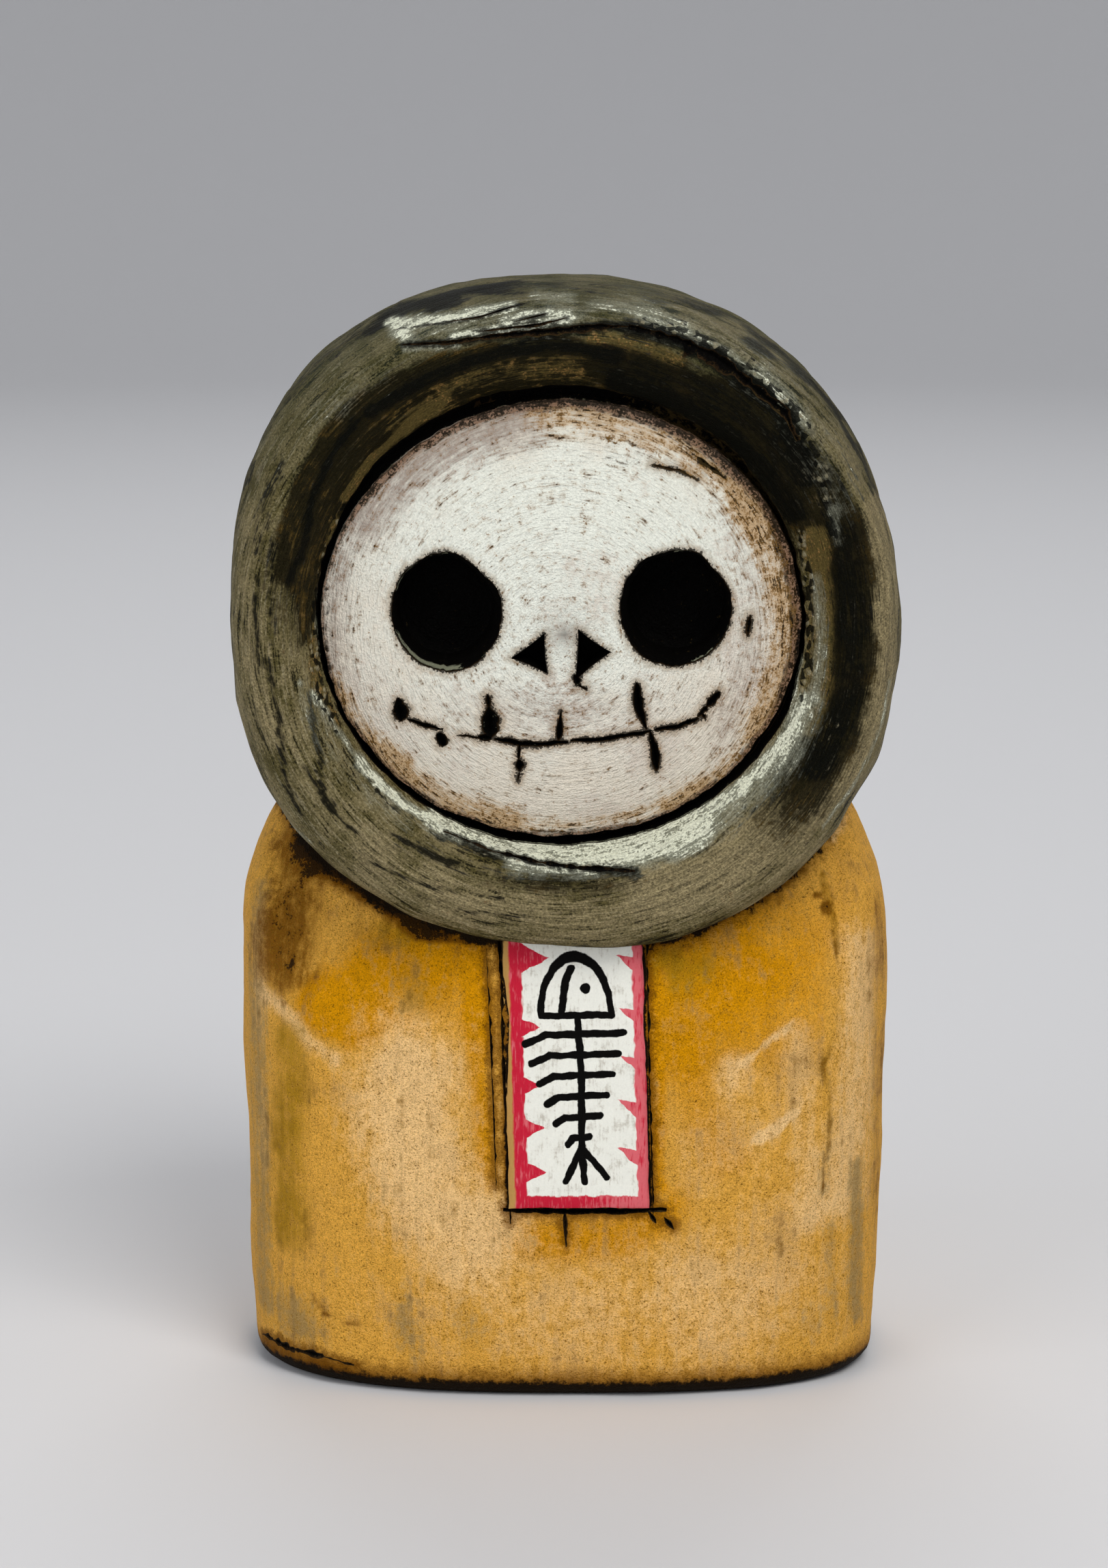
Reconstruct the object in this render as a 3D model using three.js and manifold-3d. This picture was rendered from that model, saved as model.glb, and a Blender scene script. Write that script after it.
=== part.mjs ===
// A small carved and painted wooden spirit figure: a skull face in a hooded head on a squat, armless
// body with a low-relief name-tag panel on its chest. It is one block of wood, so it is one solid.
// Millimetres. X is to the viewer's right, -Y is the front, Z is up, and the figure stands on z = 0.
import * as THREE from "three";
import { mergeVertices } from "three/addons/utils/BufferGeometryUtils.js";
import Module from "manifold-3d";

// Body: a stack of rounded sections. Its widths are half widths, and bodyY is the middle of its depth.
const BODY = {
  y: 2.6,
  baseHalfWidth: 43.1,
  bellyGain: 1.3,
  bellyPeriod: 100,
  halfDepth: 27.9,
  depthGain: 0.5,
  depthPeriod: 62,
  shoulderStart: 61,
  shoulderDrop: 0.0165,
  chestStart: 50,
  chestDrop: 0.0085,
  top: 94,
  squarenessLeft: 2.5,
  squarenessRight: 2.9,
  footRound: 3,
};

// Beside the panel the chest is scooped back under the hood, out to a ridge at each side.
const SCOOPS = [
  { inner: -9, innerEase: 12, outer: -41.5, outerEase: 3, low: 44, lowRise: 0.3, highEase: 12, depth: 1.9 },
  { inner: 13, innerEase: 12, outer: 39, outerEase: 2.5, low: 46, lowRise: 0.1, highEase: 14, depth: 1.5 },
];

// Head: its outline about its centre, and the depths of its front, sides and back.
const HEAD = {
  z: 104.9,
  halfWidth: 44.4,
  up: 44.8,
  down: 42.2,
  squarenessUpperLeft: 2.44,
  squarenessUpperRight: 2.16,
  squarenessLower: 2.3,
  sideBack: 1,
  back: 31,
  backSquareness: 2.3,
};

// Hood rim: the ring's crest is the front of the figure. Shares run from its opening to its outline.
const RIM = {
  crest: -31,
  edge: -25,
  crestShare: 0.42,
  crestShareRight: 0.2,
  crestShareAbove: 0.1,
  crestShareBelow: -0.13,
  outerDepth: -17,
  outerDepthTop: 6,
  outerDepthBelow: -10,
};
const OPENING = { x: -0.4, z: 106.7, halfWidth: 33.0, halfHeight: 30.5 };

// Face: a shallow dome inside the rim, with a knife groove all round it.
const FACE = {
  x: -0.1,
  z: 106.1,
  halfWidth: 31.8,
  halfHeight: 28.9,
  front: -28.6,
  dome: 4.2,
  domePower: 2.8,
  grooveDepth: 2.2,
};

// Eye sockets, nose holes and the stitched mouth: [x, z] on the face.
const EYES = [
  { x: -15.5, z: 107.7 },
  { x: 14.9, z: 108.2 },
];
const SOCKET = { halfWidth: 7.7, halfHeight: 8.05, depth: 9, floorShare: 0.88, sides: 28 };
const NOSTRILS = [
  [[-7.0, 101.8], [-2.6, 105.1], [-2.2, 99.7]],
  [[1.8, 105.6], [6.1, 102.6], [1.4, 98.8]],
];
const NOSTRIL_DEPTH = 4.5;
const MOUTH = {
  low: 90.6,
  middle: -2,
  bow: 0.0078,
  left: -21.2,
  right: 17.6,
  steps: 16,
  width: 0.7,
  depth: 1.1,
};
// Each stitch is a knife cut from one point to another, widest part way along.
const STITCHES = [
  { from: [-21.6, 92.7], to: [-21.7, 95.4], width: 1.7 },
  { from: [-16.1, 90.0], to: [-16.3, 91.5], width: 1.3 },
  { from: [-9.9, 90.3], to: [-10.1, 96.0], width: 1.8 },
  { from: [-5.9, 90.2], to: [-6.0, 85.3], width: 1.1 },
  { from: [-0.4, 90.2], to: [-0.5, 94.2], width: 1.2 },
  { from: [11.0, 90.7], to: [9.4, 97.9], width: 1.2 },
  { from: [11.2, 91.5], to: [12.2, 86.4], width: 1.2 },
  { from: [17.2, 93.0], to: [20.3, 96.5], width: 1.0 },
];
const STITCH_DEPTH = 1.6;

// Name-tag panel: a flat slab standing proud of the chest, its head tucked under the hood rim.
const PANEL = {
  x: 1.75,
  foot: 27.2,
  top: 66,
  width: 17.7,
  lean: 0.028,
  footY: -27.1,
  topY: -24.9,
  thickness: 5,
  bevel: 0.6,
  bevelRun: { left: 0.8, right: 0.3, foot: 0.2 },
};
const STOP_CUT = { left: 1.2, right: 0.45, foot: 0.5, width: 0.8, depth: 0.9, overrun: 1.6 };

// Mesh fineness.
const HEAD_SIDES = 76;
const BODY_SIDES = 68;
const RIM_STEPS = 4;
const BACK_STEPS = 7;
const FACE_SHARES = [0.25, 0.5, 0.72, 0.88, 1];

const wasm = await Module();
wasm.setup();

// Radius at an angle of a superellipse with two half sizes.
function ovalRadius(angle, halfX, halfY, power) {
  const x = Math.abs(Math.cos(angle)) / halfX;
  const y = Math.abs(Math.sin(angle)) / halfY;
  return (x ** power + y ** power) ** (-1 / power);
}

function smoothStep(low, high, value) {
  const t = Math.min(1, Math.max(0, (value - low) / (high - low)));
  return t * t * (3 - 2 * t);
}

// A closed surface from rings of points, each ring with the same count, and a point at each end.
function shell(startPoint, rings, endPoint) {
  const count = rings[0].length;
  const points = [startPoint, ...rings.flat(), endPoint];
  const last = points.length - 1;
  const faces = [];
  const at = (ring, step) => 1 + ring * count + (step % count);
  for (let step = 0; step < count; step++) {
    faces.push(0, at(0, step + 1), at(0, step));
    faces.push(last, at(rings.length - 1, step), at(rings.length - 1, step + 1));
    for (let ring = 0; ring < rings.length - 1; ring++) {
      faces.push(at(ring, step), at(ring, step + 1), at(ring + 1, step + 1));
      faces.push(at(ring, step), at(ring + 1, step + 1), at(ring + 1, step));
    }
  }
  return new THREE.BufferGeometry().setFromPoints(points).setIndex(faces);
}

function toSolid(geometry) {
  const bare = geometry.clone();
  bare.deleteAttribute("normal");
  bare.deleteAttribute("uv");
  const merged = mergeVertices(bare, 1e-4);
  return new wasm.Manifold(
    new wasm.Mesh({
      numProp: 3,
      vertProperties: new Float32Array(merged.attributes.position.array),
      triVerts: new Uint32Array(merged.index.array),
    }),
  );
}

function toGeometry(solid) {
  const { numProp, numVert, vertProperties, triVerts } = solid.getMesh();
  const positions = new Float32Array(numVert * 3);
  for (let i = 0; i < numVert; i++) {
    positions.set(vertProperties.subarray(i * numProp, i * numProp + 3), i * 3);
  }
  const geometry = new THREE.BufferGeometry();
  geometry.setAttribute("position", new THREE.BufferAttribute(positions, 3));
  geometry.setIndex(new THREE.BufferAttribute(triVerts, 1));
  geometry.computeVertexNormals();
  return geometry;
}

// Half width and half depth of the body at a height.
function bodySize(z) {
  const belly = Math.sin((Math.PI * z) / BODY.bellyPeriod);
  const bulge = Math.sin((Math.PI * Math.min(z, BODY.depthPeriod)) / BODY.depthPeriod);
  const shoulder = Math.max(0, z - BODY.shoulderStart) ** 2 * BODY.shoulderDrop;
  const chest = Math.max(0, z - BODY.chestStart) ** 2 * BODY.chestDrop;
  const foot = BODY.footRound - z;
  const tuck = foot > 0 ? BODY.footRound - Math.sqrt(BODY.footRound ** 2 - foot ** 2) : 0;
  return {
    x: BODY.baseHalfWidth + BODY.bellyGain * belly - shoulder - tuck,
    y: BODY.halfDepth + BODY.depthGain * bulge - chest - tuck,
  };
}

// How far the chest is cut back at a point of the body's front.
function scoopDepth(x, z) {
  return SCOOPS.reduce((sum, scoop) => {
    const side = Math.sign(scoop.outer);
    const inner = smoothStep(side * scoop.inner, side * scoop.inner + scoop.innerEase, side * x);
    const outer = 1 - smoothStep(side * scoop.outer - scoop.outerEase, side * scoop.outer, side * x);
    const low = scoop.low + scoop.lowRise * (Math.abs(x) - Math.abs(scoop.inner));
    return sum + scoop.depth * inner * outer * smoothStep(low, low + scoop.highEase, z);
  }, 0);
}

function bodySquareness(x) {
  return x < 0 ? BODY.squarenessLeft : BODY.squarenessRight;
}

// The front surface of the body, as a depth at a point seen from the front.
function chestDepth(x, z) {
  const size = bodySize(z);
  const power = bodySquareness(x);
  const share = 1 - Math.min(1, Math.abs(x) / size.x) ** power;
  return BODY.y - size.y * share ** (1 / power) + scoopDepth(x, z);
}

function bodySection(z) {
  const size = bodySize(z);
  return Array.from({ length: BODY_SIDES }, (_, step) => {
    const angle = (2 * Math.PI * step) / BODY_SIDES;
    const radius = ovalRadius(angle, size.x, size.y, bodySquareness(Math.cos(angle)));
    const x = radius * Math.cos(angle);
    const y = radius * Math.sin(angle);
    return new THREE.Vector3(x, BODY.y + y + (y < 0 ? scoopDepth(x, z) : 0), z);
  });
}

function body() {
  const heights = [0.02, 0.25, 0.9, 1.9, BODY.footRound];
  const middle = 16;
  for (let i = 1; i <= middle; i++) {
    heights.push(BODY.footRound + ((BODY.shoulderStart - BODY.footRound) * i) / middle);
  }
  const upper = 9;
  for (let i = 1; i <= upper; i++) {
    heights.push(BODY.shoulderStart + ((BODY.top - BODY.shoulderStart) * i) / upper);
  }
  const rings = heights.map(bodySection);
  rings[0].forEach((point) => point.setZ(0));
  const middleAt = (z) => new THREE.Vector3(0, BODY.y, z);
  return toSolid(shell(middleAt(0), rings, middleAt(BODY.top)));
}

// The head's outline as a radius about its centre. It is fuller at its upper left.
function headRadius(angle) {
  if (Math.sin(angle) < 0) {
    return ovalRadius(angle, HEAD.halfWidth, HEAD.down, HEAD.squarenessLower);
  }
  const power = Math.cos(angle) < 0 ? HEAD.squarenessUpperLeft : HEAD.squarenessUpperRight;
  return ovalRadius(angle, HEAD.halfWidth, HEAD.up, power);
}

function faceDepth(x, z) {
  const share = Math.hypot((x - FACE.x) / FACE.halfWidth, (z - FACE.z) / FACE.halfHeight);
  return FACE.front + FACE.dome * share ** FACE.domePower;
}

// Points of the head from the middle of the face, over the rim, to the back, at one angle.
function headSpoke(angle) {
  const [c, s] = [Math.cos(angle), Math.sin(angle)];
  const [above, below] = [Math.max(0, s), Math.max(0, -s)];
  const oval = (form) => {
    const radius = ovalRadius(angle, form.halfWidth, form.halfHeight, 2);
    return [form.x + radius * c, form.z + radius * s];
  };
  const [faceX, faceZ] = oval(FACE);
  const [edgeX, edgeZ] = oval(OPENING);
  const outer = headRadius(angle);
  const [outX, outZ] = [outer * c, HEAD.z + outer * s];
  const rimDepth = FACE.front + FACE.dome;
  const between = (a, b, share, y) =>
    new THREE.Vector3(a[0] + (b[0] - a[0]) * share, y, a[1] + (b[1] - a[1]) * share);

  const points = FACE_SHARES.map((share) => {
    const x = FACE.x + (faceX - FACE.x) * share;
    const z = FACE.z + (faceZ - FACE.z) * share;
    return new THREE.Vector3(x, faceDepth(x, z), z);
  });
  const [face, edge, outline] = [[faceX, faceZ], [edgeX, edgeZ], [outX, outZ]];
  points.push(between(face, edge, 0.5, rimDepth + FACE.grooveDepth));
  points.push(between(face, edge, 1, RIM.edge));

  const crestShare =
    RIM.crestShare +
    RIM.crestShareRight * Math.max(0, c) ** 1.5 +
    RIM.crestShareAbove * above +
    RIM.crestShareBelow * below;
  const outerDepth =
    RIM.outerDepth + RIM.outerDepthTop * above + RIM.outerDepthBelow * below ** 1.5;
  points.push(between(edge, outline, crestShare * 0.5, RIM.edge + (RIM.crest - RIM.edge) * 0.62));
  for (let step = 0; step <= RIM_STEPS; step++) {
    const turn = (Math.PI / 2) * (step / RIM_STEPS);
    const share = crestShare + (1 - crestShare) * Math.sin(turn) ** 0.9;
    const y = outerDepth + (RIM.crest - outerDepth) * Math.cos(turn) ** 0.9;
    points.push(between(edge, outline, share, y));
  }
  for (let step = 0; step < BACK_STEPS; step++) {
    const turn = (Math.PI / 2) * (step / BACK_STEPS);
    const power = 2 / HEAD.backSquareness;
    const radius = outer * Math.cos(turn) ** power;
    const y = HEAD.sideBack + (HEAD.back - HEAD.sideBack) * Math.sin(turn) ** power;
    points.push(new THREE.Vector3(radius * c, y, HEAD.z + radius * s));
  }
  return points;
}

function head() {
  const spokes = Array.from({ length: HEAD_SIDES }, (_, step) =>
    headSpoke((-2 * Math.PI * step) / HEAD_SIDES),
  );
  const rings = spokes[0].map((_, ring) => spokes.map((spoke) => spoke[ring]));
  const front = new THREE.Vector3(FACE.x, FACE.front, FACE.z);
  const back = new THREE.Vector3(0, HEAD.back, HEAD.z);
  return toSolid(shell(front, rings, back));
}

// A prism in front of and behind a depth, from an outline seen from the front: [x, z] points.
function frontPrism(outline, fromY, toY, farShare = 1) {
  const area = THREE.ShapeUtils.area(outline.map(([x, z]) => new THREE.Vector2(x, z)));
  const loop = area < 0 ? outline : [...outline].reverse();
  const middle = loop.reduce(([x, z], p) => [x + p[0] / loop.length, z + p[1] / loop.length], [0, 0]);
  const ring = (share, y) =>
    loop.map(([x, z]) =>
      new THREE.Vector3(middle[0] + (x - middle[0]) * share, y, middle[1] + (z - middle[1]) * share));
  const centre = (y) => new THREE.Vector3(middle[0], y, middle[1]);
  return toSolid(shell(centre(fromY), [ring(1, fromY), ring(farShare, toY)], centre(toY)));
}

// A V-shaped knife cut along a path on a front surface. depthAt gives that surface, widthAt the cut's
// width at a share of its length.
function knifeCut(path, depthAt, widthAt, depth) {
  const lift = 1;
  const rings = path.map(([x, z], i) => {
    const [ax, az] = path[Math.max(0, i - 1)];
    const [bx, bz] = path[Math.min(path.length - 1, i + 1)];
    const length = Math.hypot(bx - ax, bz - az);
    const [sideX, sideZ] = [-(bz - az) / length, (bx - ax) / length];
    const y = depthAt(x, z);
    const share = widthAt(i / (path.length - 1));
    const half = (share / 2) * (1 + lift / depth);
    return [
      new THREE.Vector3(x - sideX * half, y - lift, z - sideZ * half),
      new THREE.Vector3(x, y + depth, z),
      new THREE.Vector3(x + sideX * half, y - lift, z + sideZ * half),
    ];
  });
  const endAt = (ring) =>
    ring[0].clone().add(ring[1]).add(ring[2]).divideScalar(3);
  return toSolid(shell(endAt(rings[0]), rings, endAt(rings[rings.length - 1])));
}

function eyeSocket(eye) {
  const outline = Array.from({ length: SOCKET.sides }, (_, step) => {
    const angle = (2 * Math.PI * step) / SOCKET.sides;
    return [
      eye.x + SOCKET.halfWidth * Math.cos(angle),
      eye.z + SOCKET.halfHeight * Math.sin(angle),
    ];
  });
  const surface = faceDepth(eye.x, eye.z);
  return frontPrism(outline, surface - 4, surface + SOCKET.depth, SOCKET.floorShare);
}

function nostril(outline) {
  return frontPrism(outline, FACE.front - 2, FACE.front + NOSTRIL_DEPTH, 0.75);
}

function mouthLine() {
  const path = Array.from({ length: MOUTH.steps + 1 }, (_, i) => {
    const x = MOUTH.left + ((MOUTH.right - MOUTH.left) * i) / MOUTH.steps;
    return [x, MOUTH.low + MOUTH.bow * (x - MOUTH.middle) ** 2];
  });
  return knifeCut(path, faceDepth, () => MOUTH.width, MOUTH.depth);
}

function stitch({ from, to, width }) {
  const shares = [0, 0.3, 0.65, 1];
  const path = shares.map((t) => [from[0] + (to[0] - from[0]) * t, from[1] + (to[1] - from[1]) * t]);
  const widthAt = (t) => width * (0.15 + 0.85 * Math.sin(Math.PI * t) ** 0.7);
  return knifeCut(path, faceDepth, widthAt, STITCH_DEPTH);
}

// The middle line of the tag panel leans a little to the right on its way down.
function panelMiddle(z) {
  return PANEL.x - PANEL.lean * (z - (PANEL.foot + PANEL.top) / 2);
}

function panel() {
  const half = PANEL.width / 2;
  const faceY = (z) =>
    PANEL.footY + ((PANEL.topY - PANEL.footY) * (z - PANEL.foot)) / (PANEL.top - PANEL.foot);
  const corner = (x, z, back) => new THREE.Vector3(panelMiddle(z) + x, faceY(z) + back, z);
  const ring = (grow, back) => {
    const left = -half - grow * PANEL.bevelRun.left;
    const right = half + grow * PANEL.bevelRun.right;
    const foot = PANEL.foot - grow * PANEL.bevelRun.foot;
    return [
      corner(left, PANEL.top, back),
      corner(right, PANEL.top, back),
      corner(right, foot, back),
      corner(left, foot, back),
    ];
  };
  const rings = [ring(0, 0), ring(1, PANEL.bevel), ring(1, PANEL.thickness)];
  const middle = (PANEL.foot + PANEL.top) / 2;
  const at = (back) => new THREE.Vector3(panelMiddle(middle), faceY(middle) + back, middle);
  return toSolid(shell(at(0), rings, at(PANEL.thickness)));
}

// The stop cuts that the panel was relieved with: down each side and along its foot.
function stopCuts() {
  const left = -PANEL.width / 2 - STOP_CUT.left;
  const right = PANEL.width / 2 + STOP_CUT.right;
  const foot = PANEL.foot - STOP_CUT.foot;
  const down = (x) =>
    Array.from({ length: 9 }, (_, i) => {
      const z = foot - STOP_CUT.overrun + ((PANEL.top - foot) * i) / 8;
      return [panelMiddle(z) + x, z];
    });
  const across = Array.from({ length: 5 }, (_, i) => {
    const x = left + ((right + STOP_CUT.overrun - left) * i) / 4;
    return [panelMiddle(foot) + x, foot];
  });
  return [down(left), down(right), across].map((path) =>
    knifeCut(path, chestDepth, () => STOP_CUT.width, STOP_CUT.depth));
}

function carvedFigure() {
  const { union, difference } = wasm.Manifold;
  const cuts = [
    ...EYES.map(eyeSocket),
    ...NOSTRILS.map(nostril),
    mouthLine(),
    ...STITCHES.map(stitch),
  ];
  const chest = difference([body(), ...stopCuts()]);
  return difference([union([chest, head(), panel()]), ...cuts]);
}

const ochreWood = new THREE.MeshStandardMaterial({
  color: new THREE.Color(0.62, 0.4, 0.16),
  roughness: 0.7,
  metalness: 0,
});

const figure = new THREE.Mesh(toGeometry(carvedFigure()), ochreWood);
figure.name = "carved_figure";

const group = new THREE.Group();
group.add(figure);

export default group;
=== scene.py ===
"""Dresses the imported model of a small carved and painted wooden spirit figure.

The figure is one block of wood: a skull face in a thick hood, on a squat armless body with a raised
tag on its chest. Sizes are in millimetres unless a name says otherwise, and meshes are in metres.
X is to the viewer's right, -Y is the front and Z is up.
"""

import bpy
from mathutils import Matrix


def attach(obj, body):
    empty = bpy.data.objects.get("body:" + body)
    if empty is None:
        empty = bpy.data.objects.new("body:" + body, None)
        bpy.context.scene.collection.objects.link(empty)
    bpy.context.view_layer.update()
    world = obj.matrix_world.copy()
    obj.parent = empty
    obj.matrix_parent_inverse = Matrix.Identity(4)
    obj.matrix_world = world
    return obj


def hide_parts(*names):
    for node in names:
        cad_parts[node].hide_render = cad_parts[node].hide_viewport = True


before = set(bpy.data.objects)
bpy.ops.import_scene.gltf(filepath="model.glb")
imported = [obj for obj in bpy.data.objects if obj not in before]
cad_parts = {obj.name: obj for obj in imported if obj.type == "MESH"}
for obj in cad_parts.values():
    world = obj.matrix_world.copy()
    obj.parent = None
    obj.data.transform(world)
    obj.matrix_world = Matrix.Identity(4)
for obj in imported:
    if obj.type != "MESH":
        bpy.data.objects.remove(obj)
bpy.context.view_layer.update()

import logging
import math
from dataclasses import dataclass
from enum import Enum
from functools import partial, reduce
from typing import Any, Callable, Sequence, Union

import bmesh
import bpy
import numpy as np
from mathutils import Vector, noise
from mathutils.bvhtree import BVHTree
from mathutils.kdtree import KDTree

MM = 0.001
SOLID_NODE = "carved_figure"
BODY_NAME = "root"
EDGE_REACH = 8.0
MOST_PAINT = 1.3
SMOOTH_ANGLE = 38
PATH_STEP = 0.6
VIEW_START = -80

log = logging.getLogger("spirit_figure")

Number = Union["Field", float]
Point2 = tuple[float, float]
Dent = tuple[float, float, float]
Colour = tuple[float, float, float, float]
Relief = Callable[[np.ndarray], np.ndarray]


class Finish(Enum):
    """The paint finishes of the figure, in the order of its material slots."""

    HOOD = 0
    FACE = 1
    BODY = 2
    TAG = 3
    CUT = 4


class Layer(Enum):
    """What the brush leaves on an area, with painted highlights and painted shade among it. Each is an
    attribute of the mesh, from 0 to MOST_PAINT.
    """

    PALE = "pale"
    DARK = "dark"
    WARM = "warm"
    GREY = "grey"
    STAIN = "stain"
    CHIPPED = "chipped"


class Distance(Enum):
    """Distances in millimetres that the mesh keeps for the paint, none over EDGE_REACH."""

    CREVICE = "crevice"
    LIP = "lip"
    SUNK = "sunk"
    HALO = "halo"


class Joining(Enum):
    """What is done with a solid's tools."""

    ADD = "UNION"
    CUT = "DIFFERENCE"


def smooth_step(low: float, high: float, value: np.ndarray) -> np.ndarray:
    """Eases from 0 at low to 1 at high."""
    share = np.clip((value - low) / (high - low), 0, 1)
    return share * share * (3 - 2 * share)


def oval_radius(angle: np.ndarray, half_x: Any, half_z: Any, power: Any) -> np.ndarray:
    """Radius of a superellipse.

    Args:
        angle: Angles about its centre, in radians.
        half_x: Half size across.
        half_z: Half size up or in depth.
        power: 2 for an ellipse, more for squarer forms.

    Returns:
        The radius at each angle.
    """
    x = np.abs(np.cos(angle)) / half_x
    z = np.abs(np.sin(angle)) / half_z
    return (x**power + z**power) ** (-1 / power)


def angle_off(degrees: Any, middle: float) -> Any:
    """How far an angle lies from another, from -180 to 180 degrees."""
    return (degrees - middle + 180) % 360 - 180


def bell(degrees: Any, middle: float, half_width: float) -> Any:
    """1 at an angle in degrees, falling away on both sides of it."""
    return np.exp(-((angle_off(degrees, middle) / half_width) ** 2))


def drawn_in(radius: Any, degrees: np.ndarray, dents: Sequence[Dent]) -> np.ndarray:
    """Draws a radius in round some angles. A dent is its depth, its angle and its half width."""
    for depth, middle, half_width in dents:
        radius = radius - depth * bell(degrees, middle, half_width)
    return radius


def shares(steps: int) -> np.ndarray:
    """Even shares from 0 to 1."""
    return np.linspace(0, 1, steps + 1)


def wobble(points: np.ndarray, wavelength: Any, seed: float) -> np.ndarray:
    """Smooth noise between about -1 and 1 at each point.

    Args:
        points: Points in millimetres, in rows of three.
        wavelength: Distance between waves, one for all directions or one each.
        seed: Moves the noise, so that two uses differ.

    Returns:
        One value for each point.
    """
    scaled = points.reshape(-1, 3) / np.broadcast_to(wavelength, 3) + seed * 7.31
    values = [noise.noise(Vector(point)) for point in scaled.tolist()]
    return np.array(values).reshape(points.shape[:-1])


def knife_flats(points: np.ndarray, size: Any, seed: float) -> np.ndarray:
    """Depth of flat knife facets: 0 on the ridges between them, about 1 in the middle of each.

    Args:
        points: Points in millimetres, in rows of three.
        size: Size of a facet, one for all directions or one each.
        seed: Moves the facets.

    Returns:
        One value for each point.
    """
    scaled = points.reshape(-1, 3) / np.broadcast_to(size, 3) + seed * 5.17
    values = []
    for point in scaled.tolist():
        near, far = noise.voronoi(Vector(point))[0][:2]
        values.append(min(1.0, far - near))
    return np.array(values).reshape(points.shape[:-1])


@dataclass
class Shell:
    """A closed surface: rings of points between two end points, with a finish for each step along it."""

    start: np.ndarray
    rings: np.ndarray
    end: np.ndarray
    finishes: list[Finish]

    def raised(self, relief: Relief) -> "Shell":
        """Moves each point outwards by what relief gives for it, in millimetres.

        Args:
            relief: Gives each point's height.

        Returns:
            The moved shell.
        """
        along = np.gradient(self.rings, axis=0)
        around = np.roll(self.rings, -1, axis=1) - np.roll(self.rings, 1, axis=1)
        outward = np.cross(around, along)
        length = np.maximum(1e-9, np.linalg.norm(outward, axis=2, keepdims=True))
        moved = self.rings + outward / length * relief(self.rings)[..., None]
        return Shell(self.start, moved, self.end, self.finishes)

    def to_object(self, name: str) -> bpy.types.Object:
        """Makes a mesh object of the shell, in metres.

        Args:
            name: Its name.

        Returns:
            The object.
        """
        ring_count, count = self.rings.shape[:2]
        points = np.vstack([self.start[None], self.rings.reshape(-1, 3), self.end[None]])
        step = np.arange(count)
        following = (step + 1) % count
        last = len(points) - 1
        slots = [self.finishes[0].value] * count
        faces: list[tuple[int, ...]] = []
        faces += zip([0] * count, (1 + following).tolist(), (1 + step).tolist())
        for index in range(ring_count - 1):
            near, far = 1 + index * count, 1 + (index + 1) * count
            corners = (near + step, near + following, far + following, far + step)
            faces += zip(*(corner.tolist() for corner in corners))
            slots += [self.finishes[index + 1].value] * count
        top = 1 + (ring_count - 1) * count
        faces += zip([last] * count, (top + step).tolist(), (top + following).tolist())
        slots += [self.finishes[-1].value] * count
        return mesh_object(name, points, faces, slots)


def mesh_object(
    name: str,
    points: np.ndarray,
    faces: Sequence[Sequence[int]],
    slots: Sequence[int],
    edges: Sequence[Sequence[int]] = (),
) -> bpy.types.Object:
    """Makes a mesh object whose faces have the slots given.

    Args:
        name: The name of the object and its mesh.
        points: Points in millimetres.
        faces: Rows of point numbers.
        slots: The material slot of each face.
        edges: Pairs of point numbers, where there are no faces.

    Returns:
        The object, linked to the scene.
    """
    mesh = bpy.data.meshes.new(name)
    mesh.from_pydata((np.asarray(points) * MM).tolist(), list(edges), list(faces))
    set_slots(mesh, slots)
    mesh.update()
    made = bpy.data.objects.new(name, mesh)
    bpy.context.scene.collection.objects.link(made)
    return made


def set_slots(mesh: bpy.types.Mesh, slots: Sequence[int]) -> None:
    """Gives a mesh an empty material slot for each finish, and its faces the slots given.

    Args:
        mesh: The mesh.
        slots: The slot of each face.
    """
    mesh.materials.clear()
    for _ in Finish:
        mesh.materials.append(None)
    mesh.polygons.foreach_set("material_index", list(slots))


def discard(*objects: bpy.types.Object) -> None:
    """Deletes objects that were only a step on the way."""
    for made in objects:
        bpy.data.objects.remove(made, do_unlink=True)


def applied(target: bpy.types.Object) -> bpy.types.Object:
    """Makes an object's modifiers a plain mesh and removes them.

    Args:
        target: The object.

    Returns:
        The same object.
    """
    graph = bpy.context.evaluated_depsgraph_get()
    mesh = bpy.data.meshes.new_from_object(target.evaluated_get(graph))
    old = target.data
    target.modifiers.clear()
    target.data = mesh
    bpy.data.meshes.remove(old)
    return target


def is_scrap(face: bmesh.types.BMFace) -> bool:
    """True where a face lies back to back with one other on the same edges."""
    return len({near for edge in face.edges for near in edge.link_faces}) == 2


def drop_scraps(mesh: bpy.types.Mesh) -> None:
    """Deletes the flat scraps that a cut can leave.

    Args:
        mesh: The mesh.
    """
    work = bmesh.new()
    work.from_mesh(mesh)
    bmesh.ops.delete(work, geom=[face for face in work.faces if is_scrap(face)], context="FACES")
    work.to_mesh(mesh)
    work.free()


def combined(
    target: bpy.types.Object, tools: Sequence[bpy.types.Object], joining: Joining
) -> bpy.types.Object:
    """Joins solids to a solid or cuts them from it, keeping the finish of every face.

    Args:
        target: The solid that is changed.
        tools: The solids that are added or cut away, which are deleted.
        joining: Which of the two is done.

    Returns:
        The target, with a plain mesh.
    """
    for tool in tools:
        modifier = target.modifiers.new(tool.name, "BOOLEAN")
        modifier.operation = joining.value
        modifier.solver = "MANIFOLD"
        modifier.object = tool
    applied(target)
    discard(*tools)
    return target


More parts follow.
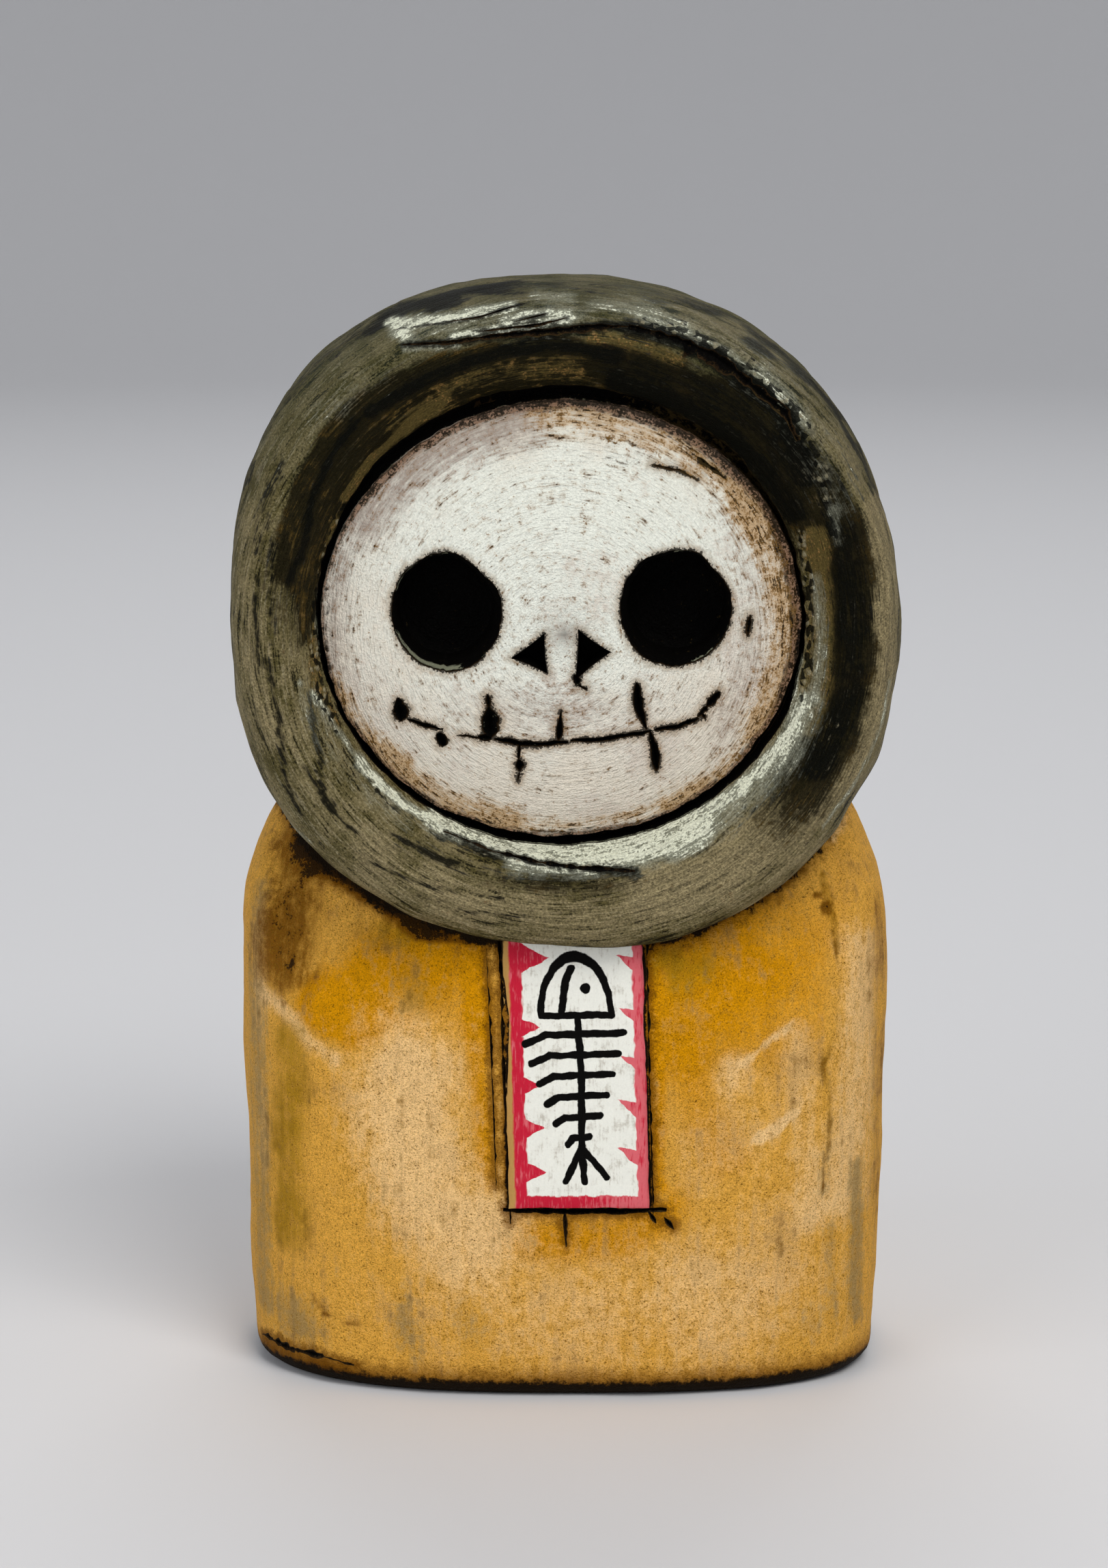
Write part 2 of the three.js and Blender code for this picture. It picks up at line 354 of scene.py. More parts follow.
@dataclass(frozen=True)
class Face:
    """The skull face: a shallow dome inside the hood, with a knife groove round it."""

    x: float = -0.1
    z: float = 106.1
    half_width: float = 31.8
    half_height: float = 28.9
    front: float = -28.6
    dome: float = 4.2
    dome_power: float = 2.8
    groove_depth: float = 2.2

    def depth(self, x: np.ndarray, z: np.ndarray) -> np.ndarray:
        """Depth of the face's surface at a point seen from the front."""
        share = np.hypot((x - self.x) / self.half_width, (z - self.z) / self.half_height)
        return self.front + self.dome * share**self.dome_power


@dataclass(frozen=True)
class Head:
    """The hood and the face as one shell about the line from front to back.

    In front of the depth -stroke_front its strokes run round the face, and behind it along the sides.
    """

    face: Face = Face()
    z: float = 104.9
    half_width: float = 44.4
    up: float = 44.8
    down: float = 42.2
    square_upper_left: float = 2.44
    square_upper_right: float = 2.16
    square_lower: float = 2.3
    side_back: float = 1.0
    back: float = 31.0
    back_square: float = 2.3
    opening_x: float = -0.4
    opening_z: float = 106.7
    opening_half_width: float = 33.0
    opening_half_height: float = 30.5
    crest: float = -31.0
    edge: float = -25.0
    rim_back: float = -17
    rim_back_above: float = 6
    rim_back_below: float = 10
    stroke_front: float = 20
    stroke_gain: float = 0.7
    stroke_radius: float = 40
    least_groove: float = 0.42
    face_dents: tuple[Dent, ...] = ((0.75, -22, 55),)
    opening_dents: tuple[Dent, ...] = ((0.95, 190, 42), (-0.1, -50, 30), (1.0, 10, 34))
    outline_dents: tuple[Dent, ...] = ((1.25, 237, 36), (0.6, 322, 20))
    plain_ragged: float = 0.14
    ragged_dents: tuple[Dent, ...] = ((-0.3, 180, 35), (-0.3, 12, 28))
    groove_shares: tuple[float, ...] = (0.1, 0.3, 0.5, 0.72, 0.92)
    face_steps: int = 41
    crest_steps: int = 16
    rim_steps: int = 23
    side_steps: int = 13
    back_steps: int = 32
    sides: int = 380

    def outline(self, angle: np.ndarray) -> np.ndarray:
        """Radius of the outline about the head's middle. It is fuller at its upper left.

        Args:
            angle: Angles in radians.

        Returns:
            The radii.
        """
        upper = np.sin(angle) >= 0
        height = np.where(upper, self.up, self.down)
        upper_power = np.where(np.cos(angle) < 0, self.square_upper_left, self.square_upper_right)
        return oval_radius(angle, self.half_width, height, np.where(upper, upper_power, self.square_lower))

    def crest_share(self, angle: np.ndarray) -> np.ndarray:
        """Where the rim's crest lies, from 0 at the opening to 1 at the outline.

        Args:
            angle: Angles in radians.

        Returns:
            The shares.
        """
        right = np.maximum(0, np.cos(angle)) ** 1.5
        above = np.maximum(0, np.sin(angle))
        below = np.maximum(0, -np.sin(angle))
        return 0.42 + 0.2 * right + 0.1 * above - 0.13 * below

    def relief(self, points: np.ndarray) -> np.ndarray:
        """How far the knife and brush left each point above the plain form.

        Args:
            points: Points in millimetres.

        Returns:
            The heights.
        """
        x, y, z = np.moveaxis(points, -1, 0)
        up = z - self.z
        radius = np.maximum(1e-6, np.hypot(x, up))
        inside = np.hypot((x - self.opening_x) / self.opening_half_width,
                          (z - self.opening_z) / self.opening_half_height)
        hood = smooth_step(0.97, 1.04, inside) + (y > -self.stroke_front) * (inside < 0.97)
        hood = np.clip(hood, 0, 1)
        depth = radius + self.stroke_gain * np.maximum(0, y + self.stroke_front)
        reach = self.stroke_radius
        turned = np.stack([x / radius * reach, up / radius * reach, depth], axis=-1)
        flats = -0.55 * knife_flats(points, (13, 13, 10), 1) - 0.25 * knife_flats(turned, (14, 14, 5), 2)
        swell = 0.3 * wobble(points, 11, 3)
        strokes = 0.16 * wobble(turned, (7, 7, 1.7), 4) + 0.1 * wobble(turned, (4, 4, 1.1), 5)
        on_face = 0.14 * wobble(points, 8, 6) + 0.05 * wobble(turned, (6, 6, 1.6), 7)
        return hood * (0.3 + flats + swell + strokes) + (1 - hood) * on_face

    @staticmethod
    def lips(shell: Shell) -> list[np.ndarray]:
        """The last ring of the face and the first of the hood, at the two sides of the groove.

        Args:
            shell: The head's shell.

        Returns:
            The two rings.
        """
        marks = [finish.value for finish in shell.finishes]
        cut = marks.index(Finish.CUT.value)
        hood = marks.index(Finish.HOOD.value)
        return [shell.rings[cut - 2], shell.rings[hood - 1]]

    def edges(self, angle: np.ndarray) -> tuple[np.ndarray, np.ndarray, np.ndarray]:
        """Radius of the face's edge, of the hood's opening and of the outline, each about its own middle.

        Args:
            angle: Angles in radians.

        Returns:
            The three radii.
        """
        degrees = np.degrees(angle)
        reach = self.opening_half_width
        circle = np.stack([np.cos(angle) * reach, np.zeros_like(angle), np.sin(angle) * reach], axis=-1)
        inner = oval_radius(angle, self.face.half_width, self.face.half_height, 2)
        inner = drawn_in(inner, degrees, self.face_dents)
        inner = inner + 0.22 * wobble(circle, 6, 11) + 0.2 * wobble(circle, 1.7, 12)
        middle = oval_radius(angle, self.opening_half_width, self.opening_half_height, 2)
        middle = drawn_in(middle, degrees, self.opening_dents)
        ragged = drawn_in(self.plain_ragged, degrees, self.ragged_dents)
        middle = middle + 0.25 * wobble(circle, 7, 13) + ragged * wobble(circle, 1.5, 14)
        middle = np.maximum(middle, inner + self.least_groove)
        return inner, middle, drawn_in(self.outline(angle), degrees, self.outline_dents)

    def shell(self) -> Shell:
        """Builds the head from the middle of the face, over the rim, to the back.

        Returns:
            Its shell.
        """
        angle = -2 * np.pi * np.arange(self.sides) / self.sides
        cos, sin = np.cos(angle), np.sin(angle)
        above, below = np.maximum(0, sin), np.maximum(0, -sin)
        face = self.face
        face_radius, edge_radius, outer = self.edges(angle)
        face_edge = np.stack([face.x + face_radius * cos, face.z + face_radius * sin])
        opening = np.stack([self.opening_x + edge_radius * cos, self.opening_z + edge_radius * sin])
        outline = np.stack([outer * cos, self.z + outer * sin])
        rings: list[np.ndarray] = []
        finishes = [Finish.FACE]

        def add(flat: np.ndarray, y: Any, finish: Finish) -> None:
            """Adds a ring at a depth, and the finish of the step that leads to it."""
            rings.append(np.stack([flat[0], np.broadcast_to(y, flat[0].shape), flat[1]], axis=1))
            finishes.append(finish)

        middle = np.array([[face.x], [face.z]])
        for share in 1 - (1 - shares(self.face_steps)[1:]) ** 1.2:
            flat = middle + (face_edge - middle) * share
            add(flat, face.depth(flat[0], flat[1]), Finish.FACE)
        for share in self.groove_shares:
            cut = face.groove_depth * (1 - abs(2 * share - 1) ** 2.2)
            add(face_edge + (opening - face_edge) * share, face.front + face.dome + cut, Finish.CUT)
        crest = self.crest_share(angle)
        for share in shares(self.crest_steps)[:-1]:
            y = self.edge + (self.crest - self.edge) * (1 - (1 - share) ** 1.4)
            add(opening + (outline - opening) * crest * share, y, Finish.HOOD)
        rim_back = self.rim_back + self.rim_back_above * above - self.rim_back_below * below**1.5
        for turn in np.pi / 2 * shares(self.rim_steps):
            share = crest + (1 - crest) * np.sin(turn) ** 0.9
            y = rim_back + (self.crest - rim_back) * max(0.0, np.cos(turn)) ** 0.9
            add(opening + (outline - opening) * share, y, Finish.HOOD)
        for share in shares(self.side_steps)[1:-1]:
            add(outline, rim_back + (self.side_back - rim_back) * share, Finish.HOOD)
        power = 2 / self.back_square
        for turn in np.pi / 2 * shares(self.back_steps)[:-1]:
            radius = outer * np.cos(turn) ** power
            flat = np.stack([radius * cos, self.z + radius * sin])
            add(flat, self.side_back + (self.back - self.side_back) * np.sin(turn) ** power, Finish.HOOD)
        start, end = np.array([face.x, face.front, face.z]), np.array([0, self.back, self.z])
        return Shell(start, np.array(rings), end, finishes).raised(self.relief)


@dataclass(frozen=True)
class Scoop:
    """A hollow cut into the chest beside the tag, from an inner ease to an outer ridge."""

    inner: float
    outer: float
    outer_ease: float
    low: float
    low_rise: float
    high_ease: float
    depth: float
    inner_ease: float = 12

    def at(self, x: np.ndarray, z: np.ndarray) -> np.ndarray:
        """How far the chest is cut back at a point seen from the front.

        Args:
            x: How far right the points are.
            z: How high they are.

        Returns:
            The depths.
        """
        side = math.copysign(1, self.outer)
        inner = smooth_step(side * self.inner, side * self.inner + self.inner_ease, side * x)
        outer = 1 - smooth_step(side * self.outer - self.outer_ease, side * self.outer, side * x)
        low = self.low + self.low_rise * (np.abs(x) - abs(self.inner))
        return self.depth * inner * outer * smooth_step(0, self.high_ease, z - low)


@dataclass(frozen=True)
class Body:
    """The squat armless body, as rounded sections from the floor up into the head."""

    y: float = 2.6
    base_half_width: float = 43.1
    belly_gain: float = 1.3
    belly_period: float = 100
    half_depth: float = 27.9
    depth_gain: float = 0.5
    depth_period: float = 62
    shoulder_start: float = 61
    shoulder_drop: float = 0.0165
    chest_start: float = 50
    chest_drop: float = 0.0085
    top: float = 94
    square_left: float = 2.5
    square_right: float = 2.9
    foot_round: float = 3
    tag_x: float = 2
    tag_side: tuple[float, float] = (8.6, 10.2)
    tag_foot: tuple[float, float] = (25.5, 27.5)
    foot_heights: tuple[float, ...] = (0, 0.15, 0.5, 1.1, 1.9)
    first_height: float = 2.7
    ring_count: int = 112
    sides: int = 400
    scoops: tuple[Scoop, ...] = (
        Scoop(inner=-9, outer=-41.5, outer_ease=3, low=44, low_rise=0.3, high_ease=12, depth=1.9),
        Scoop(inner=13, outer=39, outer_ease=2.5, low=46, low_rise=0.1, high_ease=14, depth=1.5),
    )

    def under_tag(self, x: np.ndarray, z: np.ndarray) -> np.ndarray:
        """1 where the tag covers the chest, 0 away from it."""
        return (1 - smooth_step(*self.tag_side, np.abs(x - self.tag_x))) * smooth_step(*self.tag_foot, z)

    def section(self, z: float) -> np.ndarray:
        """Points of the section at a height, anticlockwise from the right.

        Args:
            z: The height.

        Returns:
            Rows of [x, y, z].
        """
        belly = math.sin(math.pi * z / self.belly_period)
        bulge = math.sin(math.pi * min(z, self.depth_period) / self.depth_period)
        shoulder = max(0, z - self.shoulder_start) ** 2 * self.shoulder_drop
        chest = max(0, z - self.chest_start) ** 2 * self.chest_drop
        foot = max(0, self.foot_round - z)
        tuck = self.foot_round - math.sqrt(self.foot_round**2 - foot**2)
        half_x = self.base_half_width + self.belly_gain * belly - shoulder - tuck
        half_y = self.half_depth + self.depth_gain * bulge - chest - tuck
        angle = 2 * np.pi * np.arange(self.sides) / self.sides
        power = np.where(np.cos(angle) < 0, self.square_left, self.square_right)
        radius = oval_radius(angle, half_x, half_y, power)
        x, y = radius * np.cos(angle), radius * np.sin(angle)
        height = np.full_like(x, z)
        cut = sum(scoop.at(x, height) for scoop in self.scoops)
        return np.stack([x, self.y + y + np.where(y < 0, cut, 0), height], axis=1)

    def relief(self, points: np.ndarray) -> np.ndarray:
        """How far the knife left each point above the plain form, nothing at the floor.

        Args:
            points: Points in millimetres.

        Returns:
            The heights.
        """
        x, _, z = np.moveaxis(points, -1, 0)
        ground = smooth_step(0, 2.5, z) * (1 - self.under_tag(x, z))
        flats = -0.5 * knife_flats(points, (13, 13, 26), 21)
        swell = 0.35 * wobble(points, (12, 12, 18), 22) + 0.1 * wobble(points, 4, 23)
        grain = 0.05 * wobble(points, (1.6, 1.6, 2.2), 24)
        return ground * (0.25 + flats + swell + grain)

    def shell(self) -> Shell:
        """Builds the body with its knife marks.

        Returns:
            Its shell.
        """
        heights = [*self.foot_heights, *np.linspace(self.first_height, self.top, self.ring_count)]
        rings = np.array([self.section(max(0.02, height)) for height in heights])
        rings[0, :, 2] = 0
        shell = Shell(
            start=np.array([0, self.y, 0]),
            rings=rings,
            end=np.array([0, self.y, self.top]),
            finishes=[Finish.BODY] * (len(heights) + 1),
        )
        return shell.raised(self.relief)


@dataclass(frozen=True)
class TagPanel:
    """The flat tag that stands proud of the chest, with its head under the hood."""

    x: float = 1.75
    foot: float = 27.2
    top: float = 66
    half_width: float = 8.85
    lean: float = 0.028
    foot_y: float = -27.1
    top_y: float = -24.9
    thickness: float = 5
    bevel: float = 0.6
    bevel_left: float = 0.8
    bevel_right: float = 0.3
    bevel_foot: float = 0.2
    face_steps: int = 12
    steps_across: int = 24
    steps_up: int = 52

    def middle(self, z: Any) -> Any:
        """The tag's middle line, which leans to the right on its way down."""
        return self.x - self.lean * (z - (self.foot + self.top) / 2)

    def face_y(self, z: Any) -> Any:
        """Depth of the tag's face at a height."""
        return self.foot_y + (self.top_y - self.foot_y) * (z - self.foot) / (self.top - self.foot)

    def outline(self, share: float, grow: float) -> np.ndarray:
        """A ring of points at a share of the way out to the tag's edge, in the plane of its face.

        Args:
            share: 0 in the middle of the tag, 1 at its edge.
            grow: How much of the bevel's run is added.

        Returns:
            Rows of x and z.
        """
        left = -self.half_width - grow * self.bevel_left
        right = self.half_width + grow * self.bevel_right
        foot = self.foot - grow * self.bevel_foot
        across = np.linspace(0, 1, self.steps_across, endpoint=False)
        up = np.linspace(0, 1, self.steps_up, endpoint=False)
        x = np.concatenate([left + (right - left) * across, np.full(self.steps_up, right),
                            right + (left - right) * across, np.full(self.steps_up, left)])
        z = np.concatenate([np.full(self.steps_across, self.top), self.top + (foot - self.top) * up,
                            np.full(self.steps_across, foot), foot + (self.top - foot) * up])
        middle = (self.foot + self.top) / 2
        return np.stack([x * share, middle + (z - middle) * share], axis=1)

    def shell(self) -> Shell:
        """Builds the tag as a slab with a knife-cut edge.

        Returns:
            Its shell.
        """
        rings = []
        finishes = [Finish.TAG]

        def add(share: float, grow: float, back: float, finish: Finish) -> None:
            """Adds a ring so far behind the tag's face, and the finish of the step that leads to it.

            Args:
                share: Its share of the way out.
                grow: How far it stands out.
                back: How far it is behind the face.
                finish: The finish.
            """
            flat = self.outline(share, grow)
            ragged = np.stack([flat[:, 0], np.zeros(len(flat)), flat[:, 1]], axis=1)
            shift = grow * (0.18 * wobble(ragged, 2.4, 31) + 0.1 * wobble(ragged, 0.9, 32))
            x = flat[:, 0] + shift
            sunk = 0.1 * wobble(ragged, 5, 33) + 0.05 * wobble(ragged, 1.3, 34)
            rings.append(np.stack([self.middle(flat[:, 1]) + x, self.face_y(flat[:, 1]) + back + sunk,
                                   flat[:, 1] + shift], axis=1))
            finishes.append(finish)

        for share in shares(self.face_steps)[1:-1]:
            add(share, 0, 0, Finish.TAG)
        add(0.985, 0, 0.04, Finish.TAG)
        add(1, 0.3, 0.2, Finish.TAG)
        add(1, 1, self.bevel, Finish.BODY)
        add(1, 1, self.thickness, Finish.BODY)
        middle = (self.foot + self.top) / 2
        centre = np.array([self.middle(middle), self.face_y(middle), middle])
        return Shell(centre, np.array(rings), centre + [0, self.thickness, 0], finishes)


@dataclass(frozen=True)
class Hollow:
    """A hole cut into the face: an outline seen from the front, narrowing to a floor."""

    outline: tuple[Point2, ...]
    depth: float
    floor_share: float
    bevel: float = 1.5
    bevel_share: float = 0.93
    front: float = 4

    def to_object(self, name: str, surface: float) -> bpy.types.Object:
        """Makes the solid that is cut away.

        Args:
            name: The object's name.
            surface: Depth of the face's surface there.

        Returns:
            A closed mesh from in front of the face to the hole's floor.
        """
        flat = np.array(self.outline)
        middle = flat.mean(axis=0)
        levels = ((-self.front, 1.1), (-0.35, 1.03), (0.3, 1), (self.bevel, self.bevel_share),
                  (self.depth * 0.9, self.floor_share), (self.depth, self.floor_share * 0.85))
        rings = []
        for back, share in levels:
            ring = middle + (flat - middle) * share
            rings.append(np.stack([ring[:, 0], np.full(len(ring), surface + back), ring[:, 1]], axis=1))
        shell = Shell(
            start=np.array([middle[0], surface - self.front, middle[1]]),
            rings=np.array(rings),
            end=np.array([middle[0], surface + self.depth, middle[1]]),
            finishes=[Finish.CUT] * (len(rings) + 1),
        )
        return shell.to_object(name)


def socket_outline(
    x: float, z: float, notches: Sequence[tuple[float, float]], seed: int
) -> tuple[Point2, ...]:
    """The hand-cut outline of an eye socket, clockwise.

    Args:
        x: Middle of the socket.
        z: Middle of the socket.
        notches: Angles in degrees, each with how far the rim stands in there.
        seed: Moves the small irregularities.

    Returns:
        Points of the outline.
    """
    half_width, half_height, steps, notch_width = 7.35, 7.8, 110, 14
    waves = ((0.035, 1.6), (0.022, 6), (0.016, 17))
    points = []
    for step in range(steps):
        angle = -2 * math.pi * step / steps
        cos, sin = math.cos(angle), math.sin(angle)
        radius = 1.0
        for height, wave in waves:
            radius += height * noise.noise(Vector((cos * wave, sin * wave, seed)))
        for at, depth in notches:
            radius -= depth * bell(math.degrees(angle), at, notch_width)
        points.append((x + half_width * radius * cos, z + half_height * radius * sin))
    return tuple(points)


def rounded_outline(corners: Sequence[Point2], steps: int = 7) -> tuple[Point2, ...]:
    """A clockwise outline through corners, with its sides slightly hollow and cut in steps.

    Args:
        corners: The corners as [x, z].
        steps: Steps on each side.

    Returns:
        The outline.
    """
    points = []
    middle = np.mean(corners, axis=0)
    for start, end in zip(corners, [*corners[1:], corners[0]]):
        for step in range(steps):
            share = step / steps
            at = np.array(start) * (1 - share) + np.array(end) * share
            hollow = 0.16 * math.sin(math.pi * share)
            jitter = 0.05 * noise.noise(Vector((at[0] * 1.7, at[1] * 1.7, 4)))
            points.append(tuple(at + (middle - at) * (hollow + jitter) * 0.6))
    return tuple(points)


def operator(operation: str, swapped: bool = False) -> Callable[["Field", Number], "Field"]:
    """An operator of Field, which adds a Math node. Where swapped, the field is the second value."""

    def add_node(field: "Field", other: Number) -> "Field":
        """Adds the node."""
        return field.graph.math(operation, *((other, field) if swapped else (field, other)))

    return add_node


class Field:
    """A value that varies over a surface. Its operators add Math nodes."""

    def __init__(self, graph: "NodeGraph", socket: bpy.types.NodeSocket) -> None:
        """Wraps an output socket of a graph's node."""
        self.graph = graph
        self.socket = socket

    __add__ = operator("ADD")
    __radd__ = operator("ADD", swapped=True)
    __sub__ = operator("SUBTRACT")
    __rsub__ = operator("SUBTRACT", swapped=True)
    __mul__ = operator("MULTIPLY")
    __rmul__ = operator("MULTIPLY", swapped=True)
    __truediv__ = operator("DIVIDE")
    __pow__ = operator("POWER")


class NodeGraph:
    """Adds nodes to a shader or geometry tree."""

    def __init__(self, tree: bpy.types.NodeTree) -> None:
        """Keeps the tree that the nodes go into."""
        self.tree = tree

    def node(self, kind: str, settings: dict[str, Any], sockets: dict[Any, Any]) -> bpy.types.Node:
        """Adds a node.

        Args:
            kind: The node's type.
            settings: Its properties, which are set first.
            sockets: Values or links, by an input's identifier, name or number.

        Returns:
            The node.
        """
        made = self.tree.nodes.new(kind)
        for name, value in settings.items():
            setattr(made, name, value)
        for key, value in sockets.items():
            if isinstance(key, int):
                target = made.inputs[key]
            else:
                target = next(item for item in made.inputs if key in (item.identifier, item.name))
            self.feed(target, value)
        return made

    def feed(self, target: bpy.types.NodeSocket, value: Any) -> None:
        """Links a field or an output to an input, or sets its value."""
        if isinstance(value, Field):
            self.tree.links.new(value.socket, target)
        elif isinstance(value, bpy.types.NodeSocket):
            self.tree.links.new(value, target)
        else:
            target.default_value = value

    def math(self, operation: str, *values: Number, clamped: bool = False) -> Field:
        """Adds a Math node on numbers or fields.

        Args:
            operation: What the node does.
            values: Its values in order.
            clamped: Whether it stays from 0 to 1.

        Returns:
            The result.
        """
        settings = {"operation": operation, "use_clamp": clamped}
        made = self.node("ShaderNodeMath", settings, dict(enumerate(values)))
        return Field(self, made.outputs[0])

    def least(self, *values: Number) -> Field:
        """The smallest of several values."""
        return reduce(partial(self.math, "MINIMUM"), values)

    def most(self, *values: Number) -> Field:
        """The largest of several values."""
        return reduce(partial(self.math, "MAXIMUM"), values)

    def vector_math(self, operation: str, first: Any, second: Any) -> bpy.types.NodeSocket:
        """Adds a Vector Math node on two vectors, or on a vector and the factor of a SCALE.

        Args:
            operation: What the node does.
            first: The first vector.
            second: The second vector, or the factor.

        Returns:
            The result's socket.
        """
        place = "Scale" if operation == "SCALE" else 1
        made = self.node("ShaderNodeVectorMath", {"operation": operation}, {0: first, place: second})
        return made.outputs["Value" if operation in ("DISTANCE", "DOT_PRODUCT") else "Vector"]

    def vector(self, x: Number, y: Number, z: Number) -> bpy.types.NodeSocket:
        """Combines three values."""
        return self.node("ShaderNodeCombineXYZ", {}, {0: x, 1: y, 2: z}).outputs[0]


class FigureSpace(NodeGraph):
    """The nodes of one finish, with the figure's own coordinates in millimetres."""

    head = Head()

    def __init__(self, name: str) -> None:
        """Makes the material and its coordinates.

        Args:
            name: The material's name.
        """
        self.material = bpy.data.materials.new(name)
        self.material.use_nodes = True
        super().__init__(self.material.node_tree)
        self.tree.nodes.clear()
        place = self.node("ShaderNodeTexCoord", {}, {}).outputs["Object"]
        self.point = self.vector_math("SCALE", place, 1 / MM)
        parts = self.node("ShaderNodeSeparateXYZ", {}, {0: self.point}).outputs
        self.x, self.y, self.z = (Field(self, part) for part in parts)

    def noise(self, size: float, detail: float = 2, point: Any = None) -> Field:
        """Noise from 0 to 1.

        Args:
            size: The size of its patches in millimetres.
            detail: How many finer layers it has.
            point: Where it is read, or the surface's own place.

        Returns:
            The noise, with 0.5 as its middle.
        """
        at = self.point if point is None else point
        sockets = {"Vector": at, "Scale": 1 / size, "Detail": detail, "Roughness": 0.6}
        made = self.node("ShaderNodeTexNoise", {}, sockets)
        return Field(self, made.outputs[0])

    def spread(self, size: float, detail: float = 2) -> Field:
        """Noise from -0.5 to 0.5."""
        return self.noise(size, detail) - 0.5

    def strokes(self, along: float, across: float, offset: float, detail: float = 2) -> Field:
        """Noise from -0.5 to 0.5 in brush strokes that run round the head.

        Args:
            along: Length of a stroke in millimetres.
            across: Width of a stroke in millimetres.
            offset: Moves the strokes, so that two sets differ.
            detail: How many finer layers the noise has.

        Returns:
            The noise.
        """
        up = self.z - self.head.z
        radius = self.math("SQRT", self.x * self.x + up * up + 0.01)
        reach = self.head.half_width * 0.9 / along
        side = self.math("MAXIMUM", self.y + self.head.stroke_front, 0)
        depth = (radius + side * self.head.stroke_gain) / across + offset
        return self.noise(1, detail, self.vector(self.x / radius * reach, up / radius * reach, depth)) - 0.5

    def kept(self, kind: Union[Layer, Distance]) -> Field:
        """Reads the amount of a paint layer, or a distance, that the mesh keeps."""
        made = self.node("ShaderNodeAttribute", {"attribute_name": kind.value}, {})
        return Field(self, made.outputs["Fac"])

    def ease(self, value: Number, low: float, high: float) -> Field:
        """Eases from 0 where the value is low to 1 where it is high.

        Args:
            value: What is eased.
            low: Where it starts.
            high: Where it ends.

        Returns:
            The eased value.
        """
        sockets = {"Value": value, "From Min": low, "From Max": high}
        made = self.node("ShaderNodeMapRange", {"interpolation_type": "SMOOTHSTEP"}, sockets)
        return Field(self, made.outputs[0])

    def mix(self, share: Number, under: Any, over: Any) -> bpy.types.NodeSocket:
        """Lays one colour over another, where share says how much of it shows."""
        sockets = {"Factor_Float": share, "A_Color": under, "B_Color": over}
        return self.node("ShaderNodeMix", {"data_type": "RGBA"}, sockets).outputs[2]

    def coats(
        self, colour: Any, *coats: tuple[Any, Number, float, float, float]
    ) -> bpy.types.NodeSocket:
        """Lays colours over one another, each where a value of its own passes from low to high.

        Args:
            colour: The colour at the bottom.
            coats: For each coat its colour, its value, the value where none of it shows, the value
                where the most of it shows, and how much that is.

        Returns:
            The mixed colour.
        """
        for over, value, low, high, most in coats:
            colour = self.mix(self.ease(value, low, high) * most, colour, over)
        return colour

    def shade(self, colour: Any, amount: Number) -> bpy.types.NodeSocket:
        """Makes a colour darker or lighter by a factor."""
        return self.vector_math("SCALE", colour, amount)

    def bump(self, height: Number, distance: float) -> bpy.types.NodeSocket:
        """The normal with fine relief, whose height is given from 0 to 1 and in millimetres."""
        sockets = {"Strength": 1.0, "Distance": distance * MM, "Height": height}
        return self.node("ShaderNodeBump", {}, sockets).outputs[0]

    def chips(self, size: float) -> tuple[Field, Field]:
        """Small stone-like cells.

        Args:
            size: The size of a cell in millimetres.

        Returns:
            A random value for each cell and the distance from its middle, both from 0 to 1.
        """
        made = self.node("ShaderNodeTexVoronoi", {}, {"Vector": self.point, "Scale": 1 / size})
        own = self.node("ShaderNodeSeparateXYZ", {}, {0: made.outputs["Color"]}).outputs[0]
        return Field(self, own), Field(self, made.outputs["Distance"])

    def stroke(self, point: Any, start: Point2, end: Point2) -> Field:
        """Distance to a straight stroke.

        Args:
            point: A vector whose first two numbers are the place on the surface.
            start: One end of the stroke.
            end: Its other end.

        Returns:
            The distance in millimetres.
        """
        along = (end[0] - start[0], end[1] - start[1], 0)
        length2 = along[0] ** 2 + along[1] ** 2
        offset = self.vector_math("SUBTRACT", point, (*start, 0))
        dot = self.vector_math("DOT_PRODUCT", offset, along)
        share = self.math("MULTIPLY", dot, 1 / length2, clamped=True)
        return Field(self, self.vector_math("DISTANCE", offset, self.vector_math("SCALE", along, share)))

    def finished(self, colour: Any, roughness: Number, normal: Any) -> bpy.types.Material:
        """Closes the material with its shader.

        Args:
            colour: Base colour.
            roughness: Roughness over the surface.
            normal: Normal with its fine relief.

        Returns:
            The material.
        """
        sockets = {"Base Color": colour, "Roughness": roughness, "Normal": normal, "Specular IOR Level": 0.05}
        shader = self.node("ShaderNodeBsdfPrincipled", {}, sockets)
        self.node("ShaderNodeOutputMaterial", {}, {"Surface": shader.outputs[0]})
        return self.material


def paint(red: int, green: int, blue: int) -> Colour:
    """A colour from 8-bit screen values."""

    def linear(value: int) -> float:
        """One channel as a share of its light."""
        share = value / 255
        return share / 12.92 if share <= 0.04045 else ((share + 0.055) / 1.055) ** 2.4

    return (linear(red), linear(green), linear(blue), 1.0)


